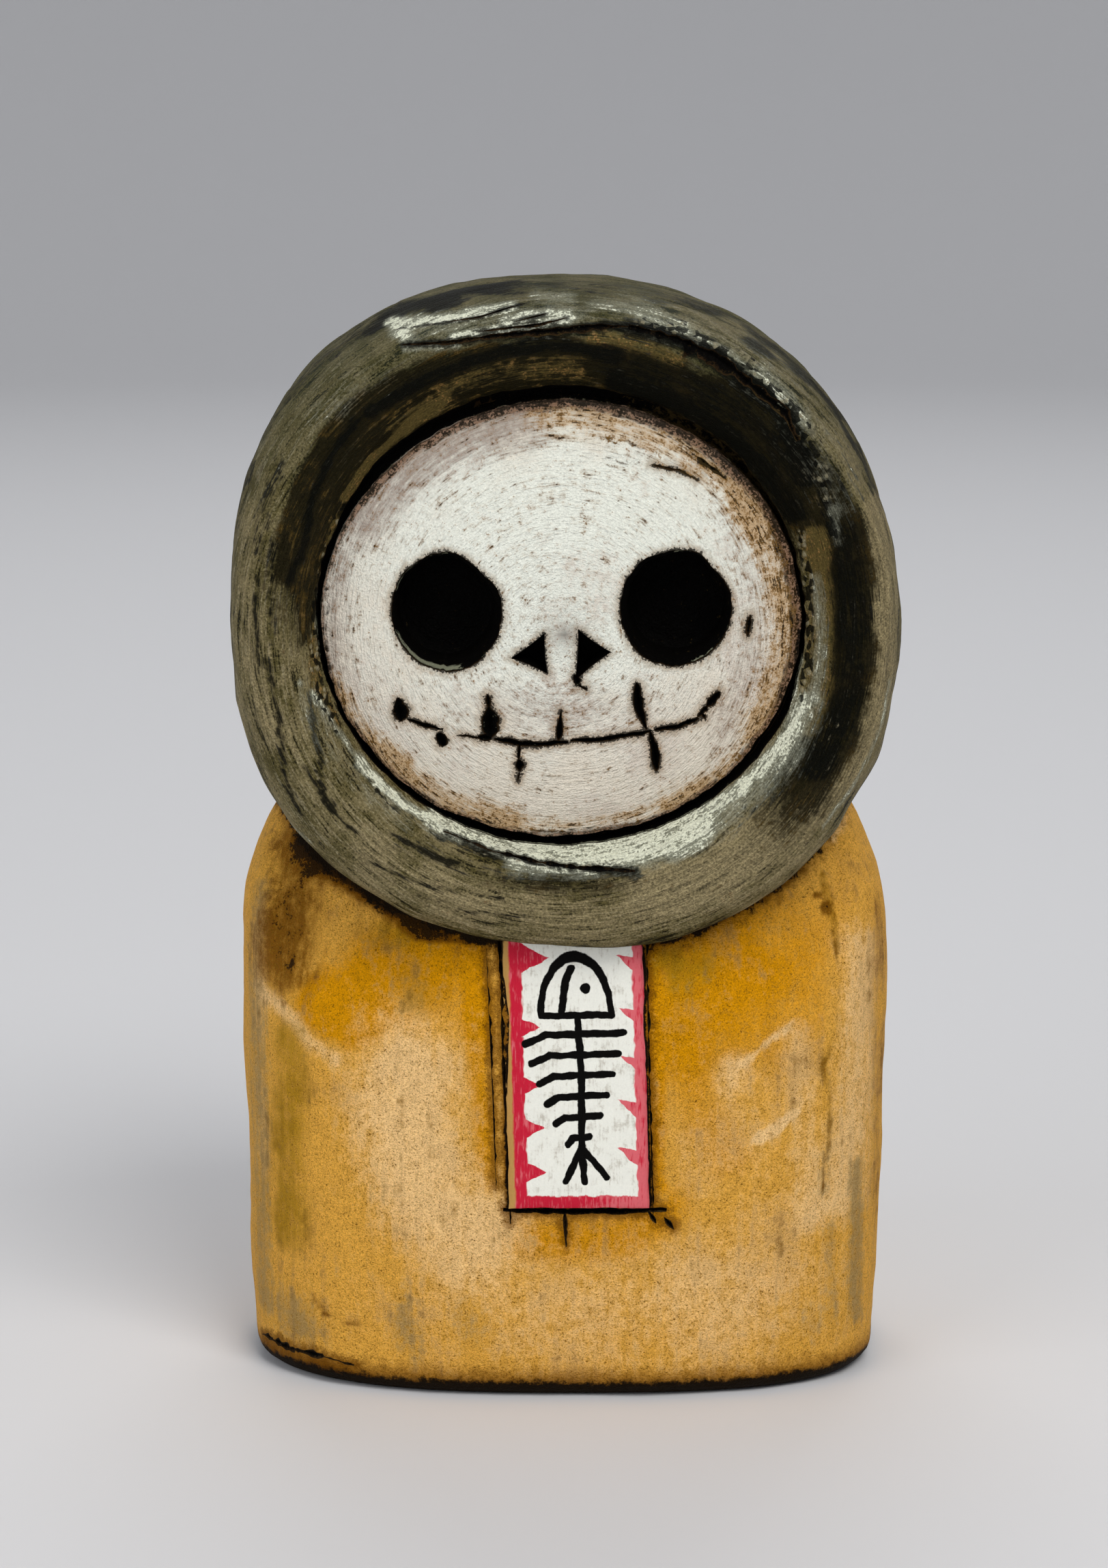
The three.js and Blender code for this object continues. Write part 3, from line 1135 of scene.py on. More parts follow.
@dataclass(frozen=True)
class HoodPaint:
    """Olive and taupe paint in strokes round the hood, rubbed pale on ridges and blackened in the cuts, with
    painted highlights and painted shade.
    """

    olive: Colour = paint(80, 73, 40)
    taupe: Colour = paint(124, 113, 80)
    light: Colour = paint(156, 148, 120)
    wash: Colour = paint(140, 127, 94)
    glaze_and_shade: Colour = paint(24, 20, 5)
    amber: Colour = paint(78, 60, 20)
    moss: Colour = paint(96, 82, 44)
    tan: Colour = paint(158, 120, 70)
    green: Colour = paint(44, 54, 38)
    pale: Colour = paint(150, 152, 134)
    cream: Colour = paint(226, 228, 206)
    dark: Colour = paint(7, 8, 4)

    def build(self) -> bpy.types.Material:
        """Makes the material.

        Returns:
            The material.
        """
        space = FigureSpace("hood_paint")
        long, short, hair = space.strokes(16, 1.3, 0), space.strokes(8, 0.5, 30), space.strokes(3, 0.2, 60, 1)
        cloud, mottle, grain = space.spread(6, 3), space.spread(0.9, 3), space.spread(0.3)
        own, far = space.chips(0.85)
        streak = short * 1.2 + hair * 0.9 + mottle
        taupe = space.ease(long + cloud * 1.4 + short * 0.6 + grain * 0.6, -0.3, 0.3)
        wash = space.shade(self.wash[:3], 1 + short * 1.6 + grain)
        amber = space.ease(short + hair * 0.8 + mottle * 0.8 + cloud * 1.2, 0.02, 0.42)
        # brown-black over the inner slopes: dark paint, and painted shade where they face down and away from
        # the light
        glaze_and_shade = space.mix(amber * 0.75, self.glaze_and_shade, self.amber)
        tan = space.ease(mottle + cloud * 0.5 + grain * 0.8, 0.08, 0.26)
        moss = space.mix(tan * 0.7, self.moss, self.tan)
        colour = space.coats(
            space.mix(taupe, self.olive, self.taupe),
            (self.light, short + hair + grain * 0.5, 0.06, 0.3, 0.55),
            (self.dark, short * 1.3 + hair * 0.6 + grain * 0.5 + long * 0.3, -0.13, -0.27, 0.85),
            (self.green, space.z + cloud * 40 + streak * 12, 112, 144, 0.42),
            # grey wash, and on the lower right a painted sheen
            (wash, space.kept(Layer.GREY) + streak * 0.8 + cloud * 0.4, 0.15, 0.9, 0.85),
            # dark paint and painted shade on the inner slopes
            (glaze_and_shade, space.kept(Layer.WARM) + streak * 0.7 + cloud * 0.6, 0.15, 0.7, 0.96),
            (moss, space.kept(Layer.STAIN) + streak * 1.1 + cloud * 0.8, 0.25, 0.85, 0.85),
            # dark paint in gouges and streaks, and painted shade on the inner slope and round the outline
            (self.dark, space.kept(Layer.DARK) + streak * 1.1 + grain * 0.4, 0.3, 0.8, 0.94),
        )
        # pale rubbed onto the ridges, with painted highlights where the rim faces up, lightest in cream
        pale = space.ease(space.kept(Layer.PALE) + streak * 0.7 + grain * 0.3, 0.15, 1.2)
        chipped = space.ease(space.kept(Layer.CHIPPED) + short * 1.2 + mottle * 0.6, 0.3, 0.6)
        colour = space.coats(
            space.mix(pale * 0.9, colour, self.pale),
            (self.cream, space.kept(Layer.PALE) * 0.6 + streak * 0.9 + grain * 0.8, 0.58, 0.78, 0.9),
            (self.dark, space.kept(Distance.HALO) + mottle * 1.8, 0.6, 0.1, 0.8),
        )
        colour = space.mix(chipped * space.ease(own, 0.5, 0.42) * 0.92, colour, self.dark)
        bit = chipped * space.ease(own, 0.62, 0.8) * space.ease(far + grain, 0.55, 0.3)
        colour = space.shade(space.mix(bit * 0.7, colour, self.light), 1.06 + grain * 1.6)
        # black in the crease above the body: wax and painted shade
        crease = space.kept(Distance.CREVICE) + streak * 1.8
        colour = space.coats(colour, (self.dark, crease, 1.3, 0.3, 0.96))
        relief = short * 0.6 + hair * 0.4 + grain * 0.5 + pale * 0.2 + chipped * (0.5 - far) * own
        return space.finished(colour, 0.6 + grain * 0.4, space.bump(relief, 0.8))


@dataclass(frozen=True)
class FacePaint:
    """Chalky white paint over the skull face, rubbed with mauve and brown wax towards the groove, with a
    painted highlight above and painted shade at the rim.
    """

    white: Colour = paint(240, 242, 230)
    cream: Colour = paint(230, 221, 204)
    blush: Colour = paint(204, 187, 172)
    mauve: Colour = paint(156, 138, 126)
    tan: Colour = paint(196, 162, 118)
    ochre: Colour = paint(134, 100, 52)
    rose: Colour = paint(142, 112, 90)
    brown: Colour = paint(66, 46, 20)
    dark: Colour = paint(14, 11, 7)

    def build(self) -> bpy.types.Material:
        """Makes the material.

        Returns:
            The material.
        """
        space = FigureSpace("face_paint")
        long, hair = space.strokes(9, 0.6, 100), space.strokes(2.6, 0.24, 130)
        cloud, mottle, grain = space.spread(8), space.spread(1.1, 3), space.spread(0.28, 1)
        own, far = space.chips(0.7)
        rough = mottle * 1.1 + long * 1.2 + hair * 0.8
        pale, dark, warm = (space.kept(layer) for layer in (Layer.PALE, Layer.DARK, Layer.WARM))
        grey, halo = space.kept(Layer.GREY), space.kept(Distance.HALO)
        # whiter on the upper face: a painted highlight where the dome faces the light
        white = space.ease(pale + cloud * 1.2 + rough * 0.6, -0.1, 0.8)
        ochre = space.ease(mottle * 0.8 + hair * 1.2 + long * 0.9 + grain * 0.8, 0, 0.25)
        tan = space.mix(ochre * 0.85, self.tan, self.ochre)
        stained = warm * 0.2 + dark * 0.15 + grey * 0.07
        specks = mottle * 0.8 + hair * 1.1 + long * 0.6 + grain * 0.6 + stained
        # brown edge and dark line along the groove, wider at the top and sides: wax, with painted shade under
        # the hood's rim
        band = space.kept(Distance.LIP) - space.kept(Layer.STAIN) * 1.7 + rough * 1.5
        edge = space.mix(space.ease(mottle + hair * 0.6 + grain * 1.2, -0.12, 0.16), self.brown, self.rose)
        colour = space.coats(
            space.mix(white, self.cream, self.white),
            (self.blush, cloud * 2.2 + mottle * 1.2 + grain * 0.6 - pale * 0.4, -0.3, 0.45, 0.6),
            # mauve wax, with painted shade where the dome turns away at its rim
            (self.mauve, grey + rough + grain * 0.5, 0.1, 1.1, 0.85),
            (tan, warm + rough * 1.6 + grain * 0.6, 0, 1.15, 0.9),
            (self.brown, dark + rough * 1.3 + grain * 0.8, 0.3, 0.95, 0.88),
            (self.dark, specks, 0.36, 0.43, 0.85),
            (self.ochre, mottle * 1.1 - hair * 0.5 + grain + stained, 0.28, 0.38, 0.6),
            (self.ochre, halo + mottle * 2.4, 1.2, 0.1, 0.5),
            (self.dark, halo + mottle + grain, 0.28, 0.05, 0.9),
            # brown then black at the groove's edge: wax with painted shade
            (edge, band, 0.75, 0.1, 0.92),
            (self.dark, band + grain * 2 + mottle, 0, -0.5, 0.75),
        )
        chipped = space.ease(space.kept(Layer.CHIPPED) + mottle * 0.8, 0.3, 0.6)
        colour = space.mix(chipped * space.ease(own, 0.5, 0.42) * 0.9, colour, self.dark)
        colour = space.shade(colour, 1 + grain * 0.45)
        relief = long * 0.5 + hair * 0.6 + grain * 0.4 + chipped * (0.5 - far) * own
        return space.finished(colour, 0.6 + grain * 0.2, space.bump(relief, 0.55))


@dataclass(frozen=True)
class BodyPaint:
    """Ochre paint with a sandy speckle over the body, rubbed pale on the belly and dark at its edges, with
    painted highlights and painted shade.
    """

    ochre: Colour = paint(218, 162, 66)
    deep_ochre_and_shade: Colour = paint(206, 140, 0)
    tan: Colour = paint(238, 196, 134)
    moss: Colour = paint(158, 118, 14)
    grey: Colour = paint(154, 128, 80)
    brown: Colour = paint(110, 66, 0)
    dark: Colour = paint(12, 8, 3)

    def build(self) -> bpy.types.Material:
        """Makes the material.

        Returns:
            The material.
        """
        space = FigureSpace("body_paint")
        cloud, mottle = space.spread(8, 3), space.spread(1.5, 3)
        grain, sand = space.spread(0.3), space.spread(0.17, 1)
        tall = space.noise(1, 2, space.vector(space.x / 1.1, space.y / 1.1, space.z / 12)) - 0.5
        soft = cloud * 1.5 + mottle + tall * 0.8 + grain * 0.6
        dark = space.kept(Layer.DARK)
        # deep orange: partly the paint's own, partly painted shade on the upper chest under the hood
        deep_ochre_and_shade = space.ease(space.kept(Layer.WARM) + soft * 0.8, 0, 0.9)
        colour = space.coats(
            space.mix(deep_ochre_and_shade, self.ochre, self.deep_ochre_and_shade),
            # tan rubbed onto the belly, with painted highlights down the rounded sides
            (self.tan, space.kept(Layer.PALE) + soft * 0.9, 0, 1.1, 1),
            (self.moss, space.kept(Layer.STAIN) + soft, 0.1, 0.95, 0.9),
            (self.grey, space.kept(Layer.GREY) + tall + mottle * 1.6 + grain * 0.8, 0.1, 1, 0.85),
            (self.brown, dark + soft * 1.1, 0.1, 1, 0.92),
            (self.moss, grain * 1.5 + sand * 0.8, 0, -0.36, 0.36),
        )
        # brown and black in the crease under the hood and beside the tag: wax with painted shade
        gap = space.kept(Distance.CREVICE) + mottle * 3.6 + grain * 1.6 + cloud * 4.5
        # browner towards the foot and black at the floor: painted shade where the foot turns under
        foot = space.z + mottle * 2.2 + grain
        colour = space.coats(
            space.shade(colour, 1.08 + grain * 0.8 + sand * 1.1 + mottle * 0.7),
            (self.brown, sand + grain + mottle * 0.5, -0.27, -0.36, 0.85),
            (self.brown, space.kept(Distance.HALO) + mottle * 2 + grain, 1.3, 0.1, 0.75),
            (self.brown, gap, 3.4, 0.6, 0.7),
            (self.brown, foot, 5.4, 2, 0.85),
        )
        # black blots where the dark marks are heaviest, under the hood: wax with painted shade
        wax = space.ease(dark + mottle * 1.6 + grain * 0.8, 1.06, 1.24)
        black = space.most(space.ease(gap, 1.5, 0.7), space.ease(foot, 2.8, 1.9), wax * 0.9)
        colour = space.mix(black * 0.97, colour, self.dark)
        relief = grain * 0.6 + sand * 0.4 + tall * 0.3
        return space.finished(colour, 0.62 + grain * 0.3, space.bump(relief, 0.5))


@dataclass(frozen=True)
class TagPaint:
    """White tag with a toothed red border and a fish skeleton in black brush strokes.

    A tooth is its height on the tag and how far it reaches in. Other points are [x, z] from the middle line.
    """

    white: Colour = paint(240, 240, 230)
    shadow: Colour = paint(188, 182, 168)
    red: Colour = paint(200, 34, 58)
    pink: Colour = paint(220, 104, 112)
    edge: Colour = paint(190, 154, 84)
    black: Colour = paint(8, 7, 6)
    tag: TagPanel = TagPanel()
    stroke: float = 0.5
    left_band: float = 1.7
    right_band: float = 1.2
    foot_band: float = 1.6
    teeth_left: tuple[Point2, ...] = ((61, 3.9), (51.6, 2.3), (43.8, 2.2), (38, 2.5), (32, 2.6))
    teeth_right: tuple[Point2, ...] = ((59.6, 2.2), (52.6, 1.9), (46.2, 2), (39.9, 2.5), (33.4, 2.6))
    neck: float = 53.2
    crown: float = 61.2
    jaw: float = 4.7
    spine: tuple[Point2, ...] = ((0.2, 53.2), (0.5, 44.5), (0.3, 35.2))
    fins: tuple[Point2, ...] = ((-2, 30.8), (0.5, 30.6), (3.6, 31.3))
    gill: tuple[Point2, ...] = ((-1.9, 53.8), (-1.3, 57.8), (-0.5, 59.6))
    ribs: int = 6
    first_rib: float = 50.7
    rib_run: float = 14

    def build(self) -> bpy.types.Material:
        """Makes the material.

        Returns:
            The material.
        """
        space = FigureSpace("tag_paint")
        mottle = space.noise(1.8, 4)
        grain = space.noise(0.3, 3)
        bristle = space.noise(1, 2, space.vector(space.x / 0.35, 0, space.z / 2.5))
        middle = self.tag.x + self.tag.lean * (self.tag.foot + self.tag.top) / 2
        across = space.x - middle + space.z * self.tag.lean
        wander, drift = space.spread(1.6, 1), space.spread(1.7, 1)
        smear = space.ease(mottle * 0.7 + bristle * 0.4 + grain * 0.3, 0.7, 0.9)
        thin = space.ease(across + mottle * 6, 1, 9) * 0.16
        wash = space.mix(space.ease(bristle * 0.7 + mottle * 0.3 + thin, 0.5, 0.66), self.red, self.pink)
        red = self.border(space, across + wander * 0.8, space.z + drift * 0.8)
        place = space.vector(across + wander * 0.5, space.z + drift * 0.5, 0)
        ink = self.stroke - self.fishbone(space, place) + (grain - 0.5) * 0.12
        rim = across + (mottle - 0.5) * 0.6 + self.tag.half_width
        colour = space.coats(
            space.mix(smear * 0.8, self.white, self.shadow),
            (wash, red + (bristle - 0.5) * 0.5, -0.12, 0.12, 1),
            (self.black, ink, -0.05, 0.06, 1),
            (self.edge, rim, 0.25, -0.1, 0.9),
            # black where the tag runs under the hood: painted shade
            (self.black, space.kept(Distance.CREVICE) + (mottle - 0.5), 0.7, 0.05, 0.9),
        )
        colour = space.shade(colour, 0.9 + grain * 0.2)
        relief = bristle * 0.5 + grain * 0.5
        return space.finished(colour, 0.5 + grain * 0.15, space.bump(relief, 0.1))

    def border(self, space: FigureSpace, across: Field, up: Field) -> Field:
        """How far inside the red border a place is, in millimetres.

        Args:
            space: The material's nodes.
            across: Distance right of the tag's middle.
            up: Height.

        Returns:
            More than 0 inside the border.
        """
        from_left, from_right = across + self.tag.half_width, self.tag.half_width - across
        edges = [self.left_band - from_left, self.right_band - from_right]
        edges.append(self.foot_band - (up - self.tag.foot))
        for height, reach in self.teeth_left:
            edges.append(self.left_band + reach - from_left - space.math("ABSOLUTE", up - height) * 2)
        for height, reach in self.teeth_right:
            slant = up - height - from_right * 0.5
            edges.append(self.right_band + reach - from_right - space.math("ABSOLUTE", slant) * 2.4)
        return space.most(*edges)

    def fishbone(self, space: FigureSpace, place: Any) -> Field:
        """Distance to the nearest brush stroke of the fish skeleton.

        Args:
            space: The material's nodes.
            place: Distance right of the tag's middle, and height.

        Returns:
            The distance in millimetres.
        """
        strokes = [*zip(self.spine, self.spine[1:]), *zip(self.gill, self.gill[1:])]
        strokes += [(self.spine[-1], fin) for fin in self.fins]
        strokes.append(((-self.jaw, self.neck), (self.jaw, self.neck + 0.1)))
        for share in shares(self.ribs - 1):
            height = self.first_rib - self.rib_run * share
            reach = 5.4 * (1 - share) ** 0.75 + 1.5
            root, bend = (0.4, height), (-reach * 0.6, height - 0.1)
            strokes += [(root, bend), (bend, (-reach, height - 0.9 - 0.4 * (1 - share)))]
            strokes.append((root, (reach * 0.9, height + 0.2)))
        nearest = space.least(*(space.stroke(place, start, end) for start, end in strokes))
        parts = space.node("ShaderNodeSeparateXYZ", {}, {0: place}).outputs
        across, up = Field(space, parts[0]), Field(space, parts[1]) - self.neck
        rise = up / ((self.crown - self.neck) / self.jaw)
        arch = space.math("ABSOLUTE", space.math("SQRT", across * across + rise * rise) - self.jaw)
        arch = arch + space.ease(up, 0, -0.01) * 9
        eye = space.stroke(place, (1.3, 56.8), (1.35, 56.9)) - 0.2
        return space.least(nearest, arch * 1.1, eye)


@dataclass(frozen=True)
class CutPaint:
    """Black wax and painted shade in everything that the knife opened, browner near the rims, with painted
    highlights on lower walls.
    """

    black: Colour = paint(5, 4, 3)
    brown: Colour = paint(58, 42, 22)
    olive: Colour = paint(62, 50, 26)
    pale: Colour = paint(146, 148, 124)

    def build(self) -> bpy.types.Material:
        """Makes the material.

        Returns:
            The material.
        """
        space = FigureSpace("cut_wax")
        mottle, grain = space.spread(1, 3), space.spread(0.3)
        sunk = space.kept(Distance.SUNK)
        # painted highlights on the lower walls of the eye holes, which face the light, and pale flecks on the
        # groove's lips
        lit = space.ease(space.kept(Layer.PALE) + mottle * 1.6 + grain, 0.45, 0.7)
        lit = lit * space.ease(sunk + mottle * 0.6, 0.3, 0.6) * space.ease(sunk + mottle, 1.7, 1.1)
        # black, browner near the rims: wax with painted shade deeper in
        colour = space.coats(
            self.black,
            (self.brown, sunk + mottle * 0.8 + grain * 0.8, 0.35, 0.02, 0.7),
            (self.olive, space.kept(Layer.WARM) + mottle * 2.4 + grain * 1.4, 0.45, 0.75, 0.85),
        )
        colour = space.mix(lit * 0.8, colour, self.pale)
        return space.finished(colour, 0.6 + grain * 0.25, space.bump(mottle + grain, 0.3))


def front_share(points: np.ndarray, start: float = -13) -> np.ndarray:
    """1 in front of a depth, falling to 0 over the next 12 mm towards the back."""
    return 1 - smooth_step(start, start + 12, points[:, 1])


@dataclass(frozen=True)
class Oval:
    """A soft oval of paint on the front: its middle, half sizes, turn in degrees and amount."""

    x: float
    z: float
    half_x: float
    half_z: float
    turn: float = 0
    amount: float = 1

    def at(self, points: np.ndarray) -> np.ndarray:
        """Amount at each point, less towards the back.

        Args:
            points: Points in millimetres.

        Returns:
            The amounts.
        """
        across, up = points[:, 0] - self.x, points[:, 2] - self.z
        cos, sin = math.cos(math.radians(self.turn)), math.sin(math.radians(self.turn))
        far = np.hypot((across * cos + up * sin) / self.half_x, (up * cos - across * sin) / self.half_z)
        return self.amount * front_share(points) * (1 - smooth_step(0.1, 1.9, far))


@dataclass(frozen=True)
class Line:
    """A brush line on the front: its half width, its amount, and the points [x, z] that it passes."""

    half_width: float
    amount: float
    points: tuple[Point2, ...]

    def at(self, points: np.ndarray) -> np.ndarray:
        """Amount at each point, less towards the back.

        Args:
            points: Points in millimetres.

        Returns:
            The amounts.
        """
        place = points[:, [0, 2]]
        far = np.full(len(place), np.inf)
        for start, end in zip(self.points, self.points[1:]):
            along = np.subtract(end, start)
            share = np.clip((place - start) @ along / (along @ along), 0, 1)
            far = np.minimum(far, np.linalg.norm(place - start - share[:, None] * along, axis=1))
        return self.amount * front_share(points) * (1 - smooth_step(0.1, 2.0, far / self.half_width))


@dataclass(frozen=True)
class Ring:
    """A band of paint round the face or hood, given in degrees and shares.

    Shares run from 0 at the opening to 1 at the outline, and below 0 on the face.
    """

    middle: float
    half_angle: float
    share: float
    half_share: float
    amount: float = 1

    def at(self, points: np.ndarray) -> np.ndarray:
        """Amount at each point, less towards the back.

        Args:
            points: Points in millimetres.

        Returns:
            The amounts.
        """
        angle, share = ring_place(points, FigureSpace.head)
        off = np.abs(angle_off(np.degrees(angle), self.middle)) / self.half_angle
        away = np.abs(share - self.share) / self.half_share
        shown = self.amount * front_share(points, -14)
        return shown * (1 - smooth_step(0.6, 1.3, off)) * (1 - smooth_step(0.5, 1.4, away))


def ring_place(points: np.ndarray, head: Head) -> tuple[np.ndarray, np.ndarray]:
    """Angle of each point about the face, and its share of the way from the opening to the outline.

    Args:
        points: Points in millimetres.
        head: The head.

    Returns:
        The angles and the shares.
    """
    across, up = points[:, 0] - head.opening_x, points[:, 2] - head.opening_z
    angle = np.arctan2(up, across)
    opening = oval_radius(angle, head.opening_half_width, head.opening_half_height, 2)
    outline = head.outline(np.arctan2(points[:, 2] - head.z, points[:, 0]))
    far = np.hypot(across, up)
    edge = np.hypot(points[:, 0], points[:, 2] - head.z)
    scale = np.where(edge > 1e-6, outline / np.maximum(edge, 1e-6), 1e6)
    rim = far + (scale - 1) * edge
    return angle, (far - opening) / np.where(far < opening, opening, np.maximum(1, rim - opening))


# paths that marks and knife cuts share, as [x, z] points seen from the front
CREST_LEFT = ((-20.9, 142.8), (-14.7, 143.3), (-7.7, 144.2), (0.3, 144.9), (3.8, 145.3), (8.2, 145.2))
CREST_RIGHT = (
    (8.2, 145.2), (14.3, 143.7), (18.8, 141.7), (21.8, 139.7), (24.9, 137.1), (28.5, 134.2), (30.2, 130.4),
)
LOWER_LIP = ((-27.2, 87.8), (-23.6, 84.2), (-20.5, 81.6), (-16, 79.1), (-11.4, 77.3), (-8.3, 76.4))
GROOVE_EDGE = (
    (-6.9, 76.6), (2.1, 76.4), (12.1, 78.1), (17.5, 80.4), (22, 83.2), (26.4, 87.2), (29.6, 91.2), (31.6, 96),
)
LEFT_LIP = ((-31.9, 109.6), (-32.9, 103), (-32.5, 98), (-29.9, 92.3))
LEFT_STREAKS = (
    ((-38.9, 102), (-37.6, 96.1), (-37.1, 90.7), (-36.5, 85), (-34.7, 81.3)),
    ((-33.4, 97.4), (-32.8, 93.1), (-32, 88.8), (-31.5, 84.4), (-30.1, 82.1)),
)
SMUDGE = ((-15.9, 78.6), (-9.6, 76), (-4.2, 74.8), (2.1, 74), (9.3, 73.8))
RIGHT_RIDGE = ((34.8, 70.2), (36.5, 63.9), (37.2, 57), (36.7, 50.8), (35.2, 44.9), (35.9, 37.2), (35.1, 27.8))
RIGHT_SIDE = ((40.8, 121), (41.3, 114.1), (41.8, 105.1), (41.6, 98.8), (39.8, 93), (36.9, 87.4), (33, 82))
SLOPE_TOP = ((-25.3, 134), (-18.3, 138.3), (-13, 140.4), (-7.7, 142.1), (-2.4, 142.9), (6.4, 141.7))
STOP_CUT = ((-8.8, 64.5), (-8.3, 57.3), (-8.1, 46.3), (-7.7, 37.9), (-7.2, 24.5))
